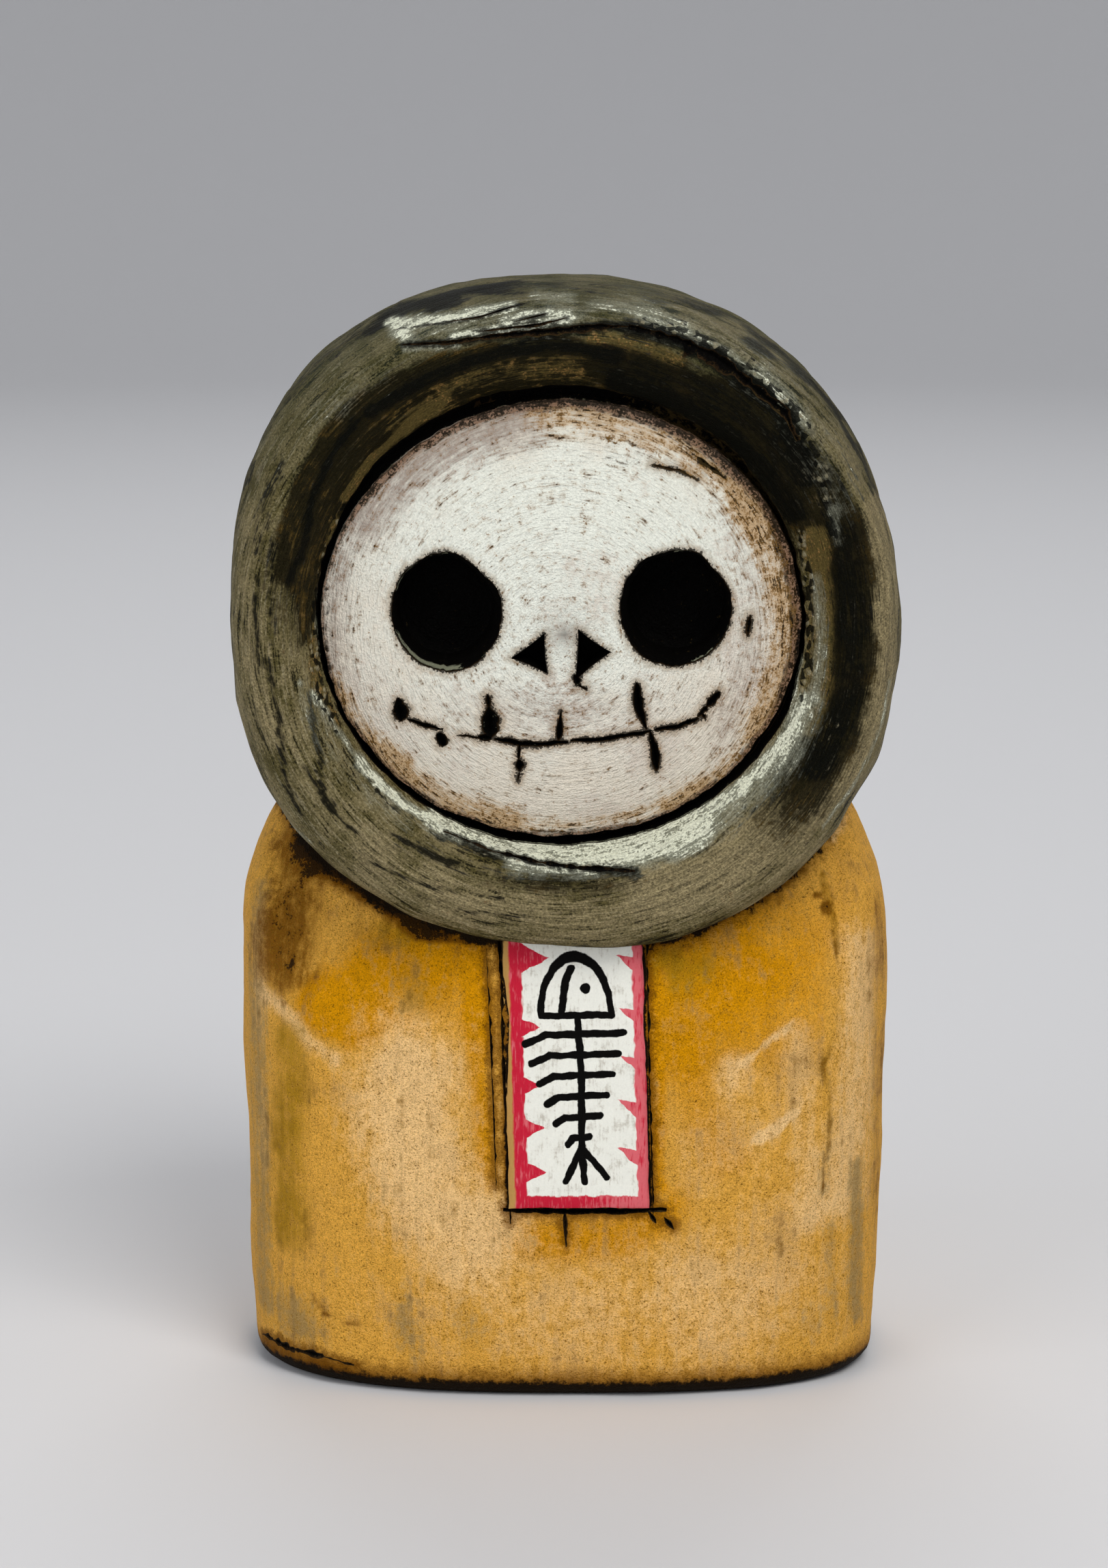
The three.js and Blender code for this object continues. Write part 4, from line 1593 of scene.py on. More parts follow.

# the marks of the brush, the rubbing cloth and the wax, and of painted highlights and painted shade, for each
# finish and layer
PAINTING: dict[tuple[Finish, Layer], tuple[Union[Oval, Line, Ring], ...]] = {
    (Finish.HOOD, Layer.PALE): (
        # top of the rim: pale strokes and painted highlights where it faces up
        Line(0.4, 1, ((-23, 145), (-15.7, 146), (-11.2, 147), (-6.5, 147.7))),
        Line(0.9, 0.9, ((-22.2, 144.6), (-20.6, 143.9))),
        Line(0.4, 0.75, ((-20.7, 142.2), (-13.8, 143))),
        Line(0.4, 1, ((-14.7, 143.9), (-6.8, 144.8), (-2.4, 145.5), (0.7, 146.2))),
        Line(0.5, 0.8, ((-7.7, 145.9), (-2.4, 147), (0.3, 146.5))),
        Line(1.7, 0.52, ((-20.1, 144.6), (-9.4, 145.7), (2, 146.2))),
        Line(0.7, 0.55, ((-4, 148.9), (0.9, 148.6))),
        Line(0.6, 0.42, ((3.9, 148), (10.9, 146.9), (16, 144.9))),
        Line(0.35, 0.5, ((9.5, 146.5), (16.1, 144.3), (20.5, 142.3), (24.1, 139.5))),
        Line(0.9, 0.5, ((25.4, 139.2), (28.9, 135.8), (30.9, 133))),
        Line(3, 0.36, ((9, 147.5), (19, 144), (27.5, 138.6), (32.5, 132), (35.5, 124))),
        Line(0.7, 0.5, ((34.7, 121.6), (35.4, 117.5))),
        # lips of the opening: worn paint with painted highlights
        Line(0.4, 0.75, ((-32.9, 97.3), (-30.3, 92.6), (-27.6, 88.9), (-24, 84.5))),
        Line(0.42, 1.5, LOWER_LIP),
        Line(1.3, 0.4, ((-34.2, 97.6), (-31.9, 91.3), (-25.8, 84), (-20.4, 79.9))),
        Line(0.5, 1.3, GROOVE_EDGE),
        # painted highlight on the lower inner slope, which faces up, over pale paint
        Line(1.3, 1.5, ((-17, 80), (-11, 78), (-5.5, 77))),
        Line(2.3, 1.9, ((-5.5, 76.4), (2.1, 76.1), (8.4, 76.6), (16, 79))),
        Line(2, 0.8, ((15, 78.1), (19.2, 79.8), (25, 84.5), (29.5, 89.4), (31.6, 95))),
        Line(1.4, 0.3, ((-32.4, 133.9), (-28.8, 134.7), (-27.1, 137.1), (-23.5, 139.3))),
        Line(0.3, 0.7, ((-38.4, 81.2), (-35.8, 78.5), (-34, 76.8))),
        Line(0.3, 0.8, ((42.6, 99), (41.7, 93), (40, 88.6), (37.5, 84.1), (33.9, 79.6))),
        Oval(-34.5, 98.2, 0.55, 0.5, 0, 0.8),
        Line(0.9, 0.7, ((32.9, 112), (33.7, 104), (33, 96.5))),
    ),
    (Finish.HOOD, Layer.GREY): (
        Line(1.8, 1.15, RIGHT_SIDE),
        # painted sheen on the lower right of the rim
        Line(3.4, 0.62, ((11.5, 72.5), (21.7, 77), (28, 82.5))),
        Line(4, 0.6, ((-24, 74), (-10, 68.5), (5, 67.5), (20, 71), (30, 77))),
        Line(3, 0.35, ((-38, 104), (-36, 94), (-32, 85), (-25, 78))),
        Line(2.4, 0.42, ((-40.4, 120), (-41.4, 105), (-40.4, 91))),
        Line(2.6, 0.45, ((16, 147), (26, 141.5), (34, 133), (37.5, 125))),
    ),
    (Finish.HOOD, Layer.WARM): (
        # dark paint with painted shade on the inner slope at the top
        Ring(95, 80, 0.24, 0.3, 1.1),
        Line(1.9, 0.9, ((-34.5, 113.7), (-33.3, 119.2), (-31.8, 124.6), (-28.9, 130), (-26.2, 133.6))),
        Line(1.1, 0.45, ((-34, 113), (-33.8, 104))),
        # dark paint with painted shade on the inner slope at the right
        Ring(-4, 42, 0.42, 0.3, 0.85),
        # painted shade under the lower rim
        Oval(0, 72.6, 9, 1.8, 0, 0.62),
    ),
    (Finish.HOOD, Layer.STAIN): (
        Line(1.7, 0.55, ((-21.5, 131.6), (-15.7, 136.4), (-12.1, 138.6), (-5.9, 139.3), (1.2, 139.8))),
        Line(0.55, 1.3, ((-28.6, 122.6), (-26.4, 126), (-23.9, 128.6), (-20.2, 132.1), (-15.7, 135.5))),
        Line(0.6, 0.8, ((-31.4, 114), (-29.9, 119.4))),
        Line(0.55, 1.3, LEFT_LIP),
        Line(1.2, 0.8, ((3.7, 143.6), (9.1, 143.3), (14.4, 141.2))),
        Line(1.5, 1.3, ((32.9, 117.5), (33.4, 111.6), (33.8, 104.4), (33.4, 98.2), (32, 93))),
        Line(1, 0.36, ((29.5, 128.5), (33, 122))),
    ),
    (Finish.HOOD, Layer.DARK): (
        Line(0.4, 1, CREST_LEFT),
        Line(1.1, 1.1, (*CREST_RIGHT, (31.2, 126))),
        # painted shade on the inner slope at the top, which faces down
        Line(0.9, 0.95, SLOPE_TOP),
        # painted shade on the inner slope at the upper right
        Line(2.3, 0.62, ((6.4, 140.6), (15.3, 137.8), (22.3, 134.3), (27.7, 129.9), (30.8, 122.6))),
        # painted shade along the outline at the upper left
        Ring(112, 13, 1, 0.08, 0.68),
        # painted shade along the groove at the upper right
        Line(1.1, 1, ((6.5, 137.6), (15.5, 134.4), (20.9, 130.8), (25.4, 126.6), (29.8, 120.4))),
        # dark wash with painted shade on the inner slope at the right, which faces away from the light
        Line(2.6, 0.76, ((36.2, 118.5), (37, 112.1), (37.6, 105), (37.4, 98.7), (35.7, 93.3), (33.4, 88.8))),
        Line(1.8, 0.34, ((33.5, 88.5), (28.5, 84), (25, 82))),
        Line(2.4, 0.3, ((18, 147), (27.5, 141.5), (34.5, 133.5), (38.5, 124))),
        Line(0.4, 0.8, ((-39.9, 112.8), (-40.3, 107.8), (-39.8, 101.3))),
        Line(0.4, 0.6, ((-37.6, 117), (-38.3, 110), (-38, 104))),
        Line(1.2, 0.5, ((-37, 127), (-39, 121.5), (-39.7, 116))),
        Line(0.35, 0.7, ((-34, 88), (-31, 82.5), (-27, 78.5))),
        Line(0.3, 0.6, ((-24, 79.6), (-19, 76.6), (-14, 74.8))),
        *(Line(0.4, 0.85, streak) for streak in LEFT_STREAKS),
        Line(0.6, 0.9, ((-35.8, 112.1), (-34, 116.5), (-33, 121.9), (-30.5, 128), (-27, 133))),
        Line(0.8, 1.05, SMUDGE),
        Line(1.2, 0.42, ((-21, 78), (-12, 74), (-2, 72.5))),
        Line(0.3, 0.7, ((-26, 75), (-17, 71.6), (-8, 70.4))),
        Line(0.3, 0.6, ((-20, 71), (-12, 68.4), (-3, 67.6))),
        # thin painted shade all round the outline, where the rim turns away
        Ring(0, 360, 1, 0.04, 0.5),
    ),
    (Finish.HOOD, Layer.CHIPPED): (
        Line(0.9, 0.62, ((9, 146), (18, 142.6), (24.1, 138.6), (29.5, 133.8), (32.5, 127), (35, 118))),
        Line(1.4, 0.36, ((14, 145.5), (24.1, 140.6), (31.5, 133.8), (36, 124))),
        Line(0.7, 0.9, ((-29, 121), (-31.2, 114), (-32.6, 107), (-32.5, 98), (-30, 92.4))),
        Line(0.55, 0.85, ((31, 118), (32.1, 110), (32.2, 103), (31.3, 96))),
        Line(0.9, 0.4, ((-27.5, 86.5), (-20.5, 80.5), (-11.4, 76.5), (-4, 74.8), (9, 73.8))),
        Line(2.4, 0.3, ((36, 93), (31, 87), (25, 82))),
    ),
    (Finish.FACE, Layer.CHIPPED): (
        Line(0.8, 0.8, ((30, 118), (31.2, 111), (31.4, 104), (30.8, 97), (28.6, 91.6))),
        Line(1.2, 0.25, ((14, 131), (20, 127.6), (25.5, 122), (28, 117))),
        Line(0.6, 0.5, ((-31.2, 111), (-31.5, 103), (-30.6, 97))),
        Line(0.6, 0.5, ((-29, 92), (-24.5, 85.8), (-19, 81.8), (-13, 79.4))),
    ),
    (Finish.FACE, Layer.PALE): (
        # painted highlight on the upper face
        Oval(0, 117, 26, 15, 0, 1),
        Oval(-6, 96, 20, 12, 0, 0.35),
    ),
    (Finish.FACE, Layer.GREY): (
        # mauve at the rim: wax with painted shade where the dome turns away
        Line(3.1, 0.9, ((-26.3, 119.2), (-21, 125.2), (-16.4, 128.4), (-11.1, 130.7), (-4, 132.3))),
        Line(1.8, 0.65, ((-29.5, 114), (-30.4, 104), (-29.8, 97.5))),
        Line(2.4, 0.55, ((22, 121), (25.5, 112), (25, 101), (21, 92))),
        Oval(-2, 95, 14, 3.5, 0, 0.55),
        Oval(-3, 106, 4, 6, 0, 0.25),
    ),
    (Finish.FACE, Layer.WARM): (
        Line(2, 0.85, ((-3, 133.4), (6.5, 132.3), (15.4, 129.2), (21.7, 124.4), (25, 120.4))),
        Line(2.9, 1.1, ((24.9, 121), (28.6, 114.3), (30, 107.1), (29.6, 99.8), (26.8, 93.4))),
        Line(2.1, 1, ((-30.4, 96.5), (-28.5, 92), (-25.4, 88.6), (-20.5, 84.7), (-15.1, 81.3), (-7.8, 79.6))),
        Oval(-22.5, 88, 3.5, 1.8, -45, 0.5),
        Line(0.9, 0.6, ((-8.5, 79.9), (-3, 79), (3, 79.1), (12, 81), (19, 84.2))),
        Line(1.6, 0.75, ((27, 93), (24.4, 89), (20, 85.2), (14, 82.2))),
    ),
    (Finish.FACE, Layer.DARK): (
        Line(1.2, 1, ((27.5, 118), (30.4, 110), (30.8, 104), (30.1, 98), (27.6, 91.8), (23.8, 87.6))),
        Line(0.5, 0.8, ((-29, 93), (-24.5, 86.2), (-19, 82.1))),
        Line(0.3, 0.8, ((4.5, 130.2), (9, 129.6))),
        Line(0.3, 0.7, ((8, 128.8), (12.5, 128))),
        Line(0.3, 0.7, ((5.5, 127.6), (9.5, 127.1))),
        Line(0.3, 0.8, ((15, 129.4), (18.5, 127))),
        Line(0.4, 0.8, ((-4, 78), (3, 78.1), (11.5, 79.2), (19.5, 82.7), (24.5, 86.8))),
    ),
    (Finish.FACE, Layer.STAIN): (
        # painted shade under the hood's rim, at the top and the sides, with brown wax
        Ring(75, 35, 0, 0.2, 0.45),
        Ring(130, 25, 0, 0.2, 0.25),
        Ring(12, 36, 0, 0.2, 0.4),
    ),
    (Finish.BODY, Layer.WARM): (
        # painted shade on the upper chest under the hood, at the left and then the right, in deep orange
        Line(4.2, 1, ((-30.5, 53.5), (-24.4, 58.5), (-17.5, 61.5))),
        Line(4.5, 0.55, ((-24, 53.5), (-13, 54))),
        Line(2.4, 0.8, ((-33.2, 53), (-28.1, 50.4))),
        Oval(22, 57.5, 13, 10, 0, 1),
        Line(3, 0.6, ((14.5, 52), (18, 40), (22, 33))),
        Line(2.6, 0.85, ((-6, 22.3), (2.2, 22.2), (8.6, 22.6), (14.4, 26.5))),
        Oval(28.5, 14.5, 5, 4, 0, 0.45),
        Line(1.3, 0.9, ((-12, 62), (-11.5, 45), (-10.2, 30))),
        Line(0.9, 0.9, ((11.8, 61), (12.8, 30))),
    ),
    (Finish.BODY, Layer.PALE): (
        Line(6.5, 1, ((-20.7, 45.5), (-21.7, 37.5), (-18, 28.2), (-13, 24))),
        # painted highlight down the right side
        Line(3.2, 0.75, ((39.9, 60), (39.8, 40.2), (38, 26.3))),
        Oval(6, 12, 24, 7, 0, 0.5),
        Oval(25, 18, 12, 11, 0, 0.35),
        Oval(22.7, 45, 2.2, 2.6, 0, 0.6),
        Oval(22, 37, 8, 8, 0, 0.3),
        # painted highlight down the left side
        Line(1, 0.5, ((-41.2, 66), (-41.8, 50), (-41.6, 28))),
        Line(1, 0.8, ((-41.3, 53.6), (-37.6, 51.4), (-34.3, 47.8), (-31, 46))),
        Line(2, 0.5, ((31, 50), (33, 36), (33, 24))),
        Line(0.45, 1.7, ((26, 35.7), (28.9, 37.2), (31.2, 39))),
        Line(0.5, 0.9, ((36.4, 74.6), (38.8, 77.2), (40.2, 78.6))),
        Line(0.35, 0.8, ((23.7, 46), (27.8, 49.4), (30.6, 51))),
    ),
    (Finish.BODY, Layer.GREY): (
        Line(1.6, 0.9, ((-41.4, 67.1), (-42.9, 57.6), (-42.5, 48.4), (-42.2, 29.2), (-42, 9.5))),
        Oval(-21, 9, 2, 5, 5, 0.75),
        Oval(-12.6, 10.5, 2, 3.4, 0, 0.5),
        Oval(-36.6, 8.4, 3.6, 3.6, 30, 0.9),
        Line(1, 0.95, ((39.8, 30), (40.1, 20.6), (39.9, 12), (40.3, 8))),
        Line(0.8, 0.55, ((35.3, 33), (35.1, 27))),
        Oval(33, 9, 2.4, 2.4, 0, 0.45),
        Line(0.8, 0.5, ((36.2, 22), (36.8, 9))),
    ),
    (Finish.BODY, Layer.STAIN): (
        Line(2.6, 0.7, ((-37.4, 47.5), (-37.5, 40.3), (-37.4, 30.8), (-38, 20.8))),
        Oval(-19, 55, 3.5, 3, 0, 0.4),
        Oval(14.5, 59.2, 5, 3, 0, 0.8),
        Line(0.5, 0.55, RIGHT_RIDGE),
        Oval(-20, 64, 6, 3, 0, 0.6),
    ),
    (Finish.BODY, Layer.DARK): (
        Line(4, 1, ((-37.6, 73), (-37.6, 65.1), (-37.8, 58.6))),
        # black under the hood at the left: wax dribbles with painted shade
        Line(1.1, 1.45, ((-36, 73), (-33, 71.8), (-28, 69.1), (-23.3, 66.5), (-18.8, 64.2))),
        Line(0.4, 0.8, ((-18.5, 64), (-11.4, 62.4))),
        Oval(-18.2, 63.2, 2.8, 0.9, -10, 1.5),
        Oval(-34.2, 71.6, 1.7, 1.1, -50, 1.5),
        Oval(15.6, 24.8, 1.6, 1, -30, 0.7),
        # black under the hood at the right: wax with painted shade
        Oval(34.6, 67.2, 0.45, 0.45, 0, 1.4),
        Oval(35.8, 65.3, 0.6, 0.8, 30, 1.4),
        Oval(28.8, 67.2, 0.6, 0.35, 0, 1.2),
        Line(0.5, 0.8, ((12, 62.5), (20.4, 65.4), (26.9, 67.8), (32.6, 71.2))),
        Line(1, 0.8, ((-42.5, 2.6), (-38, 2.2), (-32, 2.2), (-26, 1.6))),
        Line(0.3, 0.7, ((-34.6, 13), (-33, 10.2), (-30.5, 9.4), (-26, 9.6))),
        Line(0.35, 0.6, RIGHT_RIDGE),
        Line(1.2, 0.6, ((43.2, 66), (43.6, 50), (43.5, 10))),
    ),
    (Finish.CUT, Layer.WARM): (Ring(36, 36, 0, 0.3, 0.55),),
    (Finish.CUT, Layer.PALE): (
        # painted highlights on the lower walls of the eye holes, then pale on the groove's lips
        Line(0.9, 1, ((-22.6, 104.4), (-20.6, 101.9), (-17.6, 100.3), (-14.4, 100.2))),
        Line(0.7, 0.9, ((17.6, 100.8), (20.4, 102.6), (22, 105))),
        Line(0.5, 0.7, ((-22.4, 110.5), (-20.5, 113.6))),
        Line(0.8, 0.8, ((31.5, 101), (31, 96.5))),
        Line(0.7, 0.6, LEFT_LIP),
    ),
}


@dataclass(frozen=True)
class KnifePath:
    """A knife cut along points on the front: [x, z], its width and depth, and where it is widest."""

    points: tuple[Point2, ...]
    width: float
    depth: float
    peak: float = 0.5
    ends: float = 0.12
    rough: float = 0.25


# the knife cuts of the mouth, its stitches, the hood and the chest
MOUTH = (
    KnifePath(((-20.8, 93.4), (-18.4, 92.6), (-16, 92)), 0.6, 0.8),
    KnifePath(((-14, 91.4), (-9.3, 90.9)), 0.32, 0.4, rough=0.7),
    KnifePath(((-9.2, 90.9), (-5.5, 90.3), (-3.1, 90.2), (0.5, 90.6)), 0.85, 1.0, 0.45, 0.35),
    KnifePath(((0.8, 90.7), (5, 90.9), (9.6, 91.6), (11.4, 92)), 0.7, 0.9, 0.5, 0.5),
    KnifePath(((11.8, 92.1), (15.2, 92.6), (17.6, 93.6)), 0.75, 0.8, 0.4, 0.25, 0.5),
)
STITCHES = (
    KnifePath(((-21.9, 96.3), (-21.5, 93)), 2.1, 1.6, 0.6),
    KnifePath(((-16.6, 91.6), (-15.9, 89.8)), 1.3, 1.2, 0.5, 0.5),
    KnifePath(((-9.9, 95.4), (-9.8, 91)), 2.2, 1.6, 0.56),
    KnifePath(((-10.2, 97), (-9.9, 94.8)), 0.5, 0.4, rough=0.8),
    KnifePath(((-11.4, 91.2), (-9.6, 91)), 0.9, 0.8, ends=0.5),
    KnifePath(((-6, 90.4), (-6, 87.6)), 0.4, 0.5, rough=0.6),
    KnifePath(((-6, 88.2), (-5.8, 86.4)), 1.1, 1.0, 0.5, 0.3),
    KnifePath(((-5.9, 86.6), (-6.1, 84.9)), 0.4, 0.4, rough=0.6),
    KnifePath(((-0.5, 94.8), (-0.7, 90.6)), 1.0, 1.2, 0.7),
    KnifePath(((9.4, 98.6), (9.7, 95.4), (10.8, 92.2)), 1.3, 1.3, 0.45),
    KnifePath(((11.2, 92.2), (12, 89.2), (12.1, 86.4)), 1.3, 1.3, 0.55),
    KnifePath(((17, 93), (18.6, 94.8), (20.4, 97)), 1.1, 0.9, 0.6, 0.3, 0.6),
    KnifePath(((17.8, 94.6), (18.6, 93.4)), 0.5, 0.5, rough=0.6),
    KnifePath(((1.3, 99.6), (1.9, 98.2), (3, 97.6)), 0.9, 0.8, 0.3, 0.3, 0.7),
    KnifePath(((24.4, 107.3), (24, 104.4)), 0.8, 0.5, rough=0.7),
    KnifePath(((16.6, 128.4), (18.6, 126.9), (21.2, 124.9)), 0.5, 0.35, rough=0.8),
    KnifePath(((11.2, 126.9), (15, 126.3), (17.4, 124.9)), 0.3, 0.2, rough=0.8),
)
HOOD_CUTS = (
    KnifePath(((-21.5, 144.6), (-16.6, 145.4), (-11, 146.3), (-8, 147.2), (-5.2, 147.9)), 0.5, 0.45, 0.8),
    KnifePath(((-6.8, 145.7), (-2.4, 146.8)), 0.4, 0.35, 0.7),
    KnifePath(((-11.3, 144.6), (-3.3, 145.5), (0.3, 146.3)), 0.4, 0.35),
    KnifePath(CREST_LEFT, 1.0, 0.7, 0.72, 0.3, 0.4),
    KnifePath(CREST_RIGHT, 1.7, 1.0, 0.45, 0.5, 0.6),
    KnifePath(SMUDGE, 1.7, 0.8, 0.7, 0.2, 0.9),
)
CHEST_CUTS = (
    KnifePath(STOP_CUT, 0.5, 0.6, 0.25, 0.4, 0.9),
    KnifePath(((-10.4, 62), (-9.9, 51.9), (-9.5, 42.6), (-9.1, 29.4)), 0.3, 0.3, 0.6, 0.2, 0.9),
    KnifePath(((11, 64.5), (11.4, 45), (12, 24.8)), 0.28, 0.35, 0.2, 0.4, 1.0),
    KnifePath(((-8.2, 26.5), (2, 26.3), (13.8, 26.4)), 0.9, 0.9, 0.5, 0.6, 0.3),
    KnifePath(((11.2, 26.6), (12.3, 24.6)), 0.5, 0.4, rough=0.7),
    KnifePath(((13.4, 25.4), (14.8, 23.6)), 0.5, 0.4, rough=0.7),
    KnifePath(((0.1, 26.2), (0.3, 21.4)), 0.6, 0.35, 0.3, 0.3, 0.7),
    KnifePath(((-42, 4.2), (-38.2, 3.8), (-33.3, 4), (-28.6, 3.4)), 0.8, 0.5, 0.35, 0.3, 0.7),
)


class KnifeTree:
    """A Geometry Nodes tree that sweeps a V-shaped blade along a path lying on a surface."""

    step = 0.45 * MM
    wander = 0.6 * MM
    ripple = 700
    least_width = 0.25
    inputs = {"Path": "Geometry", "Width": "Float", "Depth": "Float", "Lean": "Float", "Ends": "Float",
              "Rough": "Float", "Wander": "Float", "Seed": "Float", "Material": "Material"}

    def __init__(self) -> None:
        """Builds the tree."""
        self.tree = bpy.data.node_groups.new("knife_cut", "GeometryNodeTree")
        for name, kind in self.inputs.items():
            self.tree.interface.new_socket(name, in_out="INPUT", socket_type=f"NodeSocket{kind}")
        self.tree.interface.new_socket("Cut", in_out="OUTPUT", socket_type="NodeSocketGeometry")
        graph = NodeGraph(self.tree)
        given = graph.node("NodeGroupInput", {}, {}).outputs
        curve = graph.node("GeometryNodeMeshToCurve", {}, {0: given["Path"]}).outputs[0]
        even = graph.node("GeometryNodeResampleCurve", {"mode": "LENGTH"}, {0: curve, "Length": self.step})
        place = graph.node("GeometryNodeInputPosition", {}, {}).outputs[0]
        wave = {"Vector": place, "W": given["Seed"], "Scale": self.ripple, "Detail": 2}
        texture = graph.node("ShaderNodeTexNoise", {"noise_dimensions": "4D"}, wave).outputs
        centred = graph.vector_math("SUBTRACT", texture["Color"], (0.5, 0.5, 0.5))
        flat = graph.vector_math("MULTIPLY", centred, (1, 0, 1))
        offset = graph.vector_math("SCALE", flat, given["Wander"])
        shaken = graph.node("GeometryNodeSetPosition", {}, {0: even.outputs[0], "Offset": offset})
        facing = {0: shaken.outputs[0], "Normal": (0, -1, 0)}
        curve = graph.node("GeometryNodeSetCurveNormal", {"mode": "FREE"}, facing).outputs[0]
        along = Field(graph, graph.node("GeometryNodeSplineParameter", {}, {}).outputs["Factor"])
        ends, rough = Field(graph, given["Ends"]), Field(graph, given["Rough"])
        swell = graph.math("SINE", along ** given["Lean"] * math.pi) ** 0.7
        ragged = 1 + (Field(graph, texture[0]) - 0.5) * rough * 6
        scale = (ends + (1 - ends) * swell) * graph.most(ragged, self.least_width)
        sweep = {"Curve": curve, "Profile Curve": self.blade(graph, given), "Scale": scale, "Fill Caps": True}
        solid = graph.node("GeometryNodeCurveToMesh", {}, sweep).outputs[0]
        dressed = graph.node("GeometryNodeSetMaterial", {}, {0: solid, "Material": given["Material"]})
        graph.node("NodeGroupOutput", {}, {0: dressed.outputs[0]})

    @staticmethod
    def blade(graph: NodeGraph, given: Any) -> bpy.types.NodeSocket:
        """The triangle that is swept: its point goes into the wood and its back stays clear of it.

        Args:
            graph: The nodes.
            given: The group's inputs.

        Returns:
            The triangle.
        """
        circle = graph.node("GeometryNodeCurvePrimitiveCircle", {}, {"Resolution": 3, "Radius": 1.0})
        width, depth = Field(graph, given["Width"]), Field(graph, given["Depth"])
        size = graph.vector(depth * -0.95, width * -0.85, 1)
        return graph.node("GeometryNodeTransform", {}, {0: circle.outputs[0], "Scale": size}).outputs[0]

    def cut(self, surface: BVHTree, cut: KnifePath, wax: bpy.types.Material) -> bpy.types.Object:
        """Makes the solid that one knife cut takes away.

        Args:
            surface: The surface that is cut, in millimetres.
            cut: The cut's path and form.
            wax: The finish of the cut faces.

        Returns:
            A closed mesh.
        """
        path = laid_on(surface, cut.points)
        made = mesh_object("knife", path, [], [], [(i, i + 1) for i in range(len(path) - 1)])
        modifier = made.modifiers.new("knife_cut", "NODES")
        modifier.node_group = self.tree
        values = {"Width": cut.width * MM, "Depth": cut.depth * MM, "Ends": cut.ends, "Rough": cut.rough,
                  "Lean": math.log(0.5) / math.log(cut.peak), "Wander": self.wander,
                  "Seed": float(sum(cut.points[0])), "Material": wax}
        for item in self.tree.interface.items_tree:
            if item.in_out == "INPUT" and item.name in values:
                modifier[item.identifier] = values[item.name]
        applied(made)
        set_slots(made.data, [Finish.CUT.value] * len(made.data.polygons))
        return made


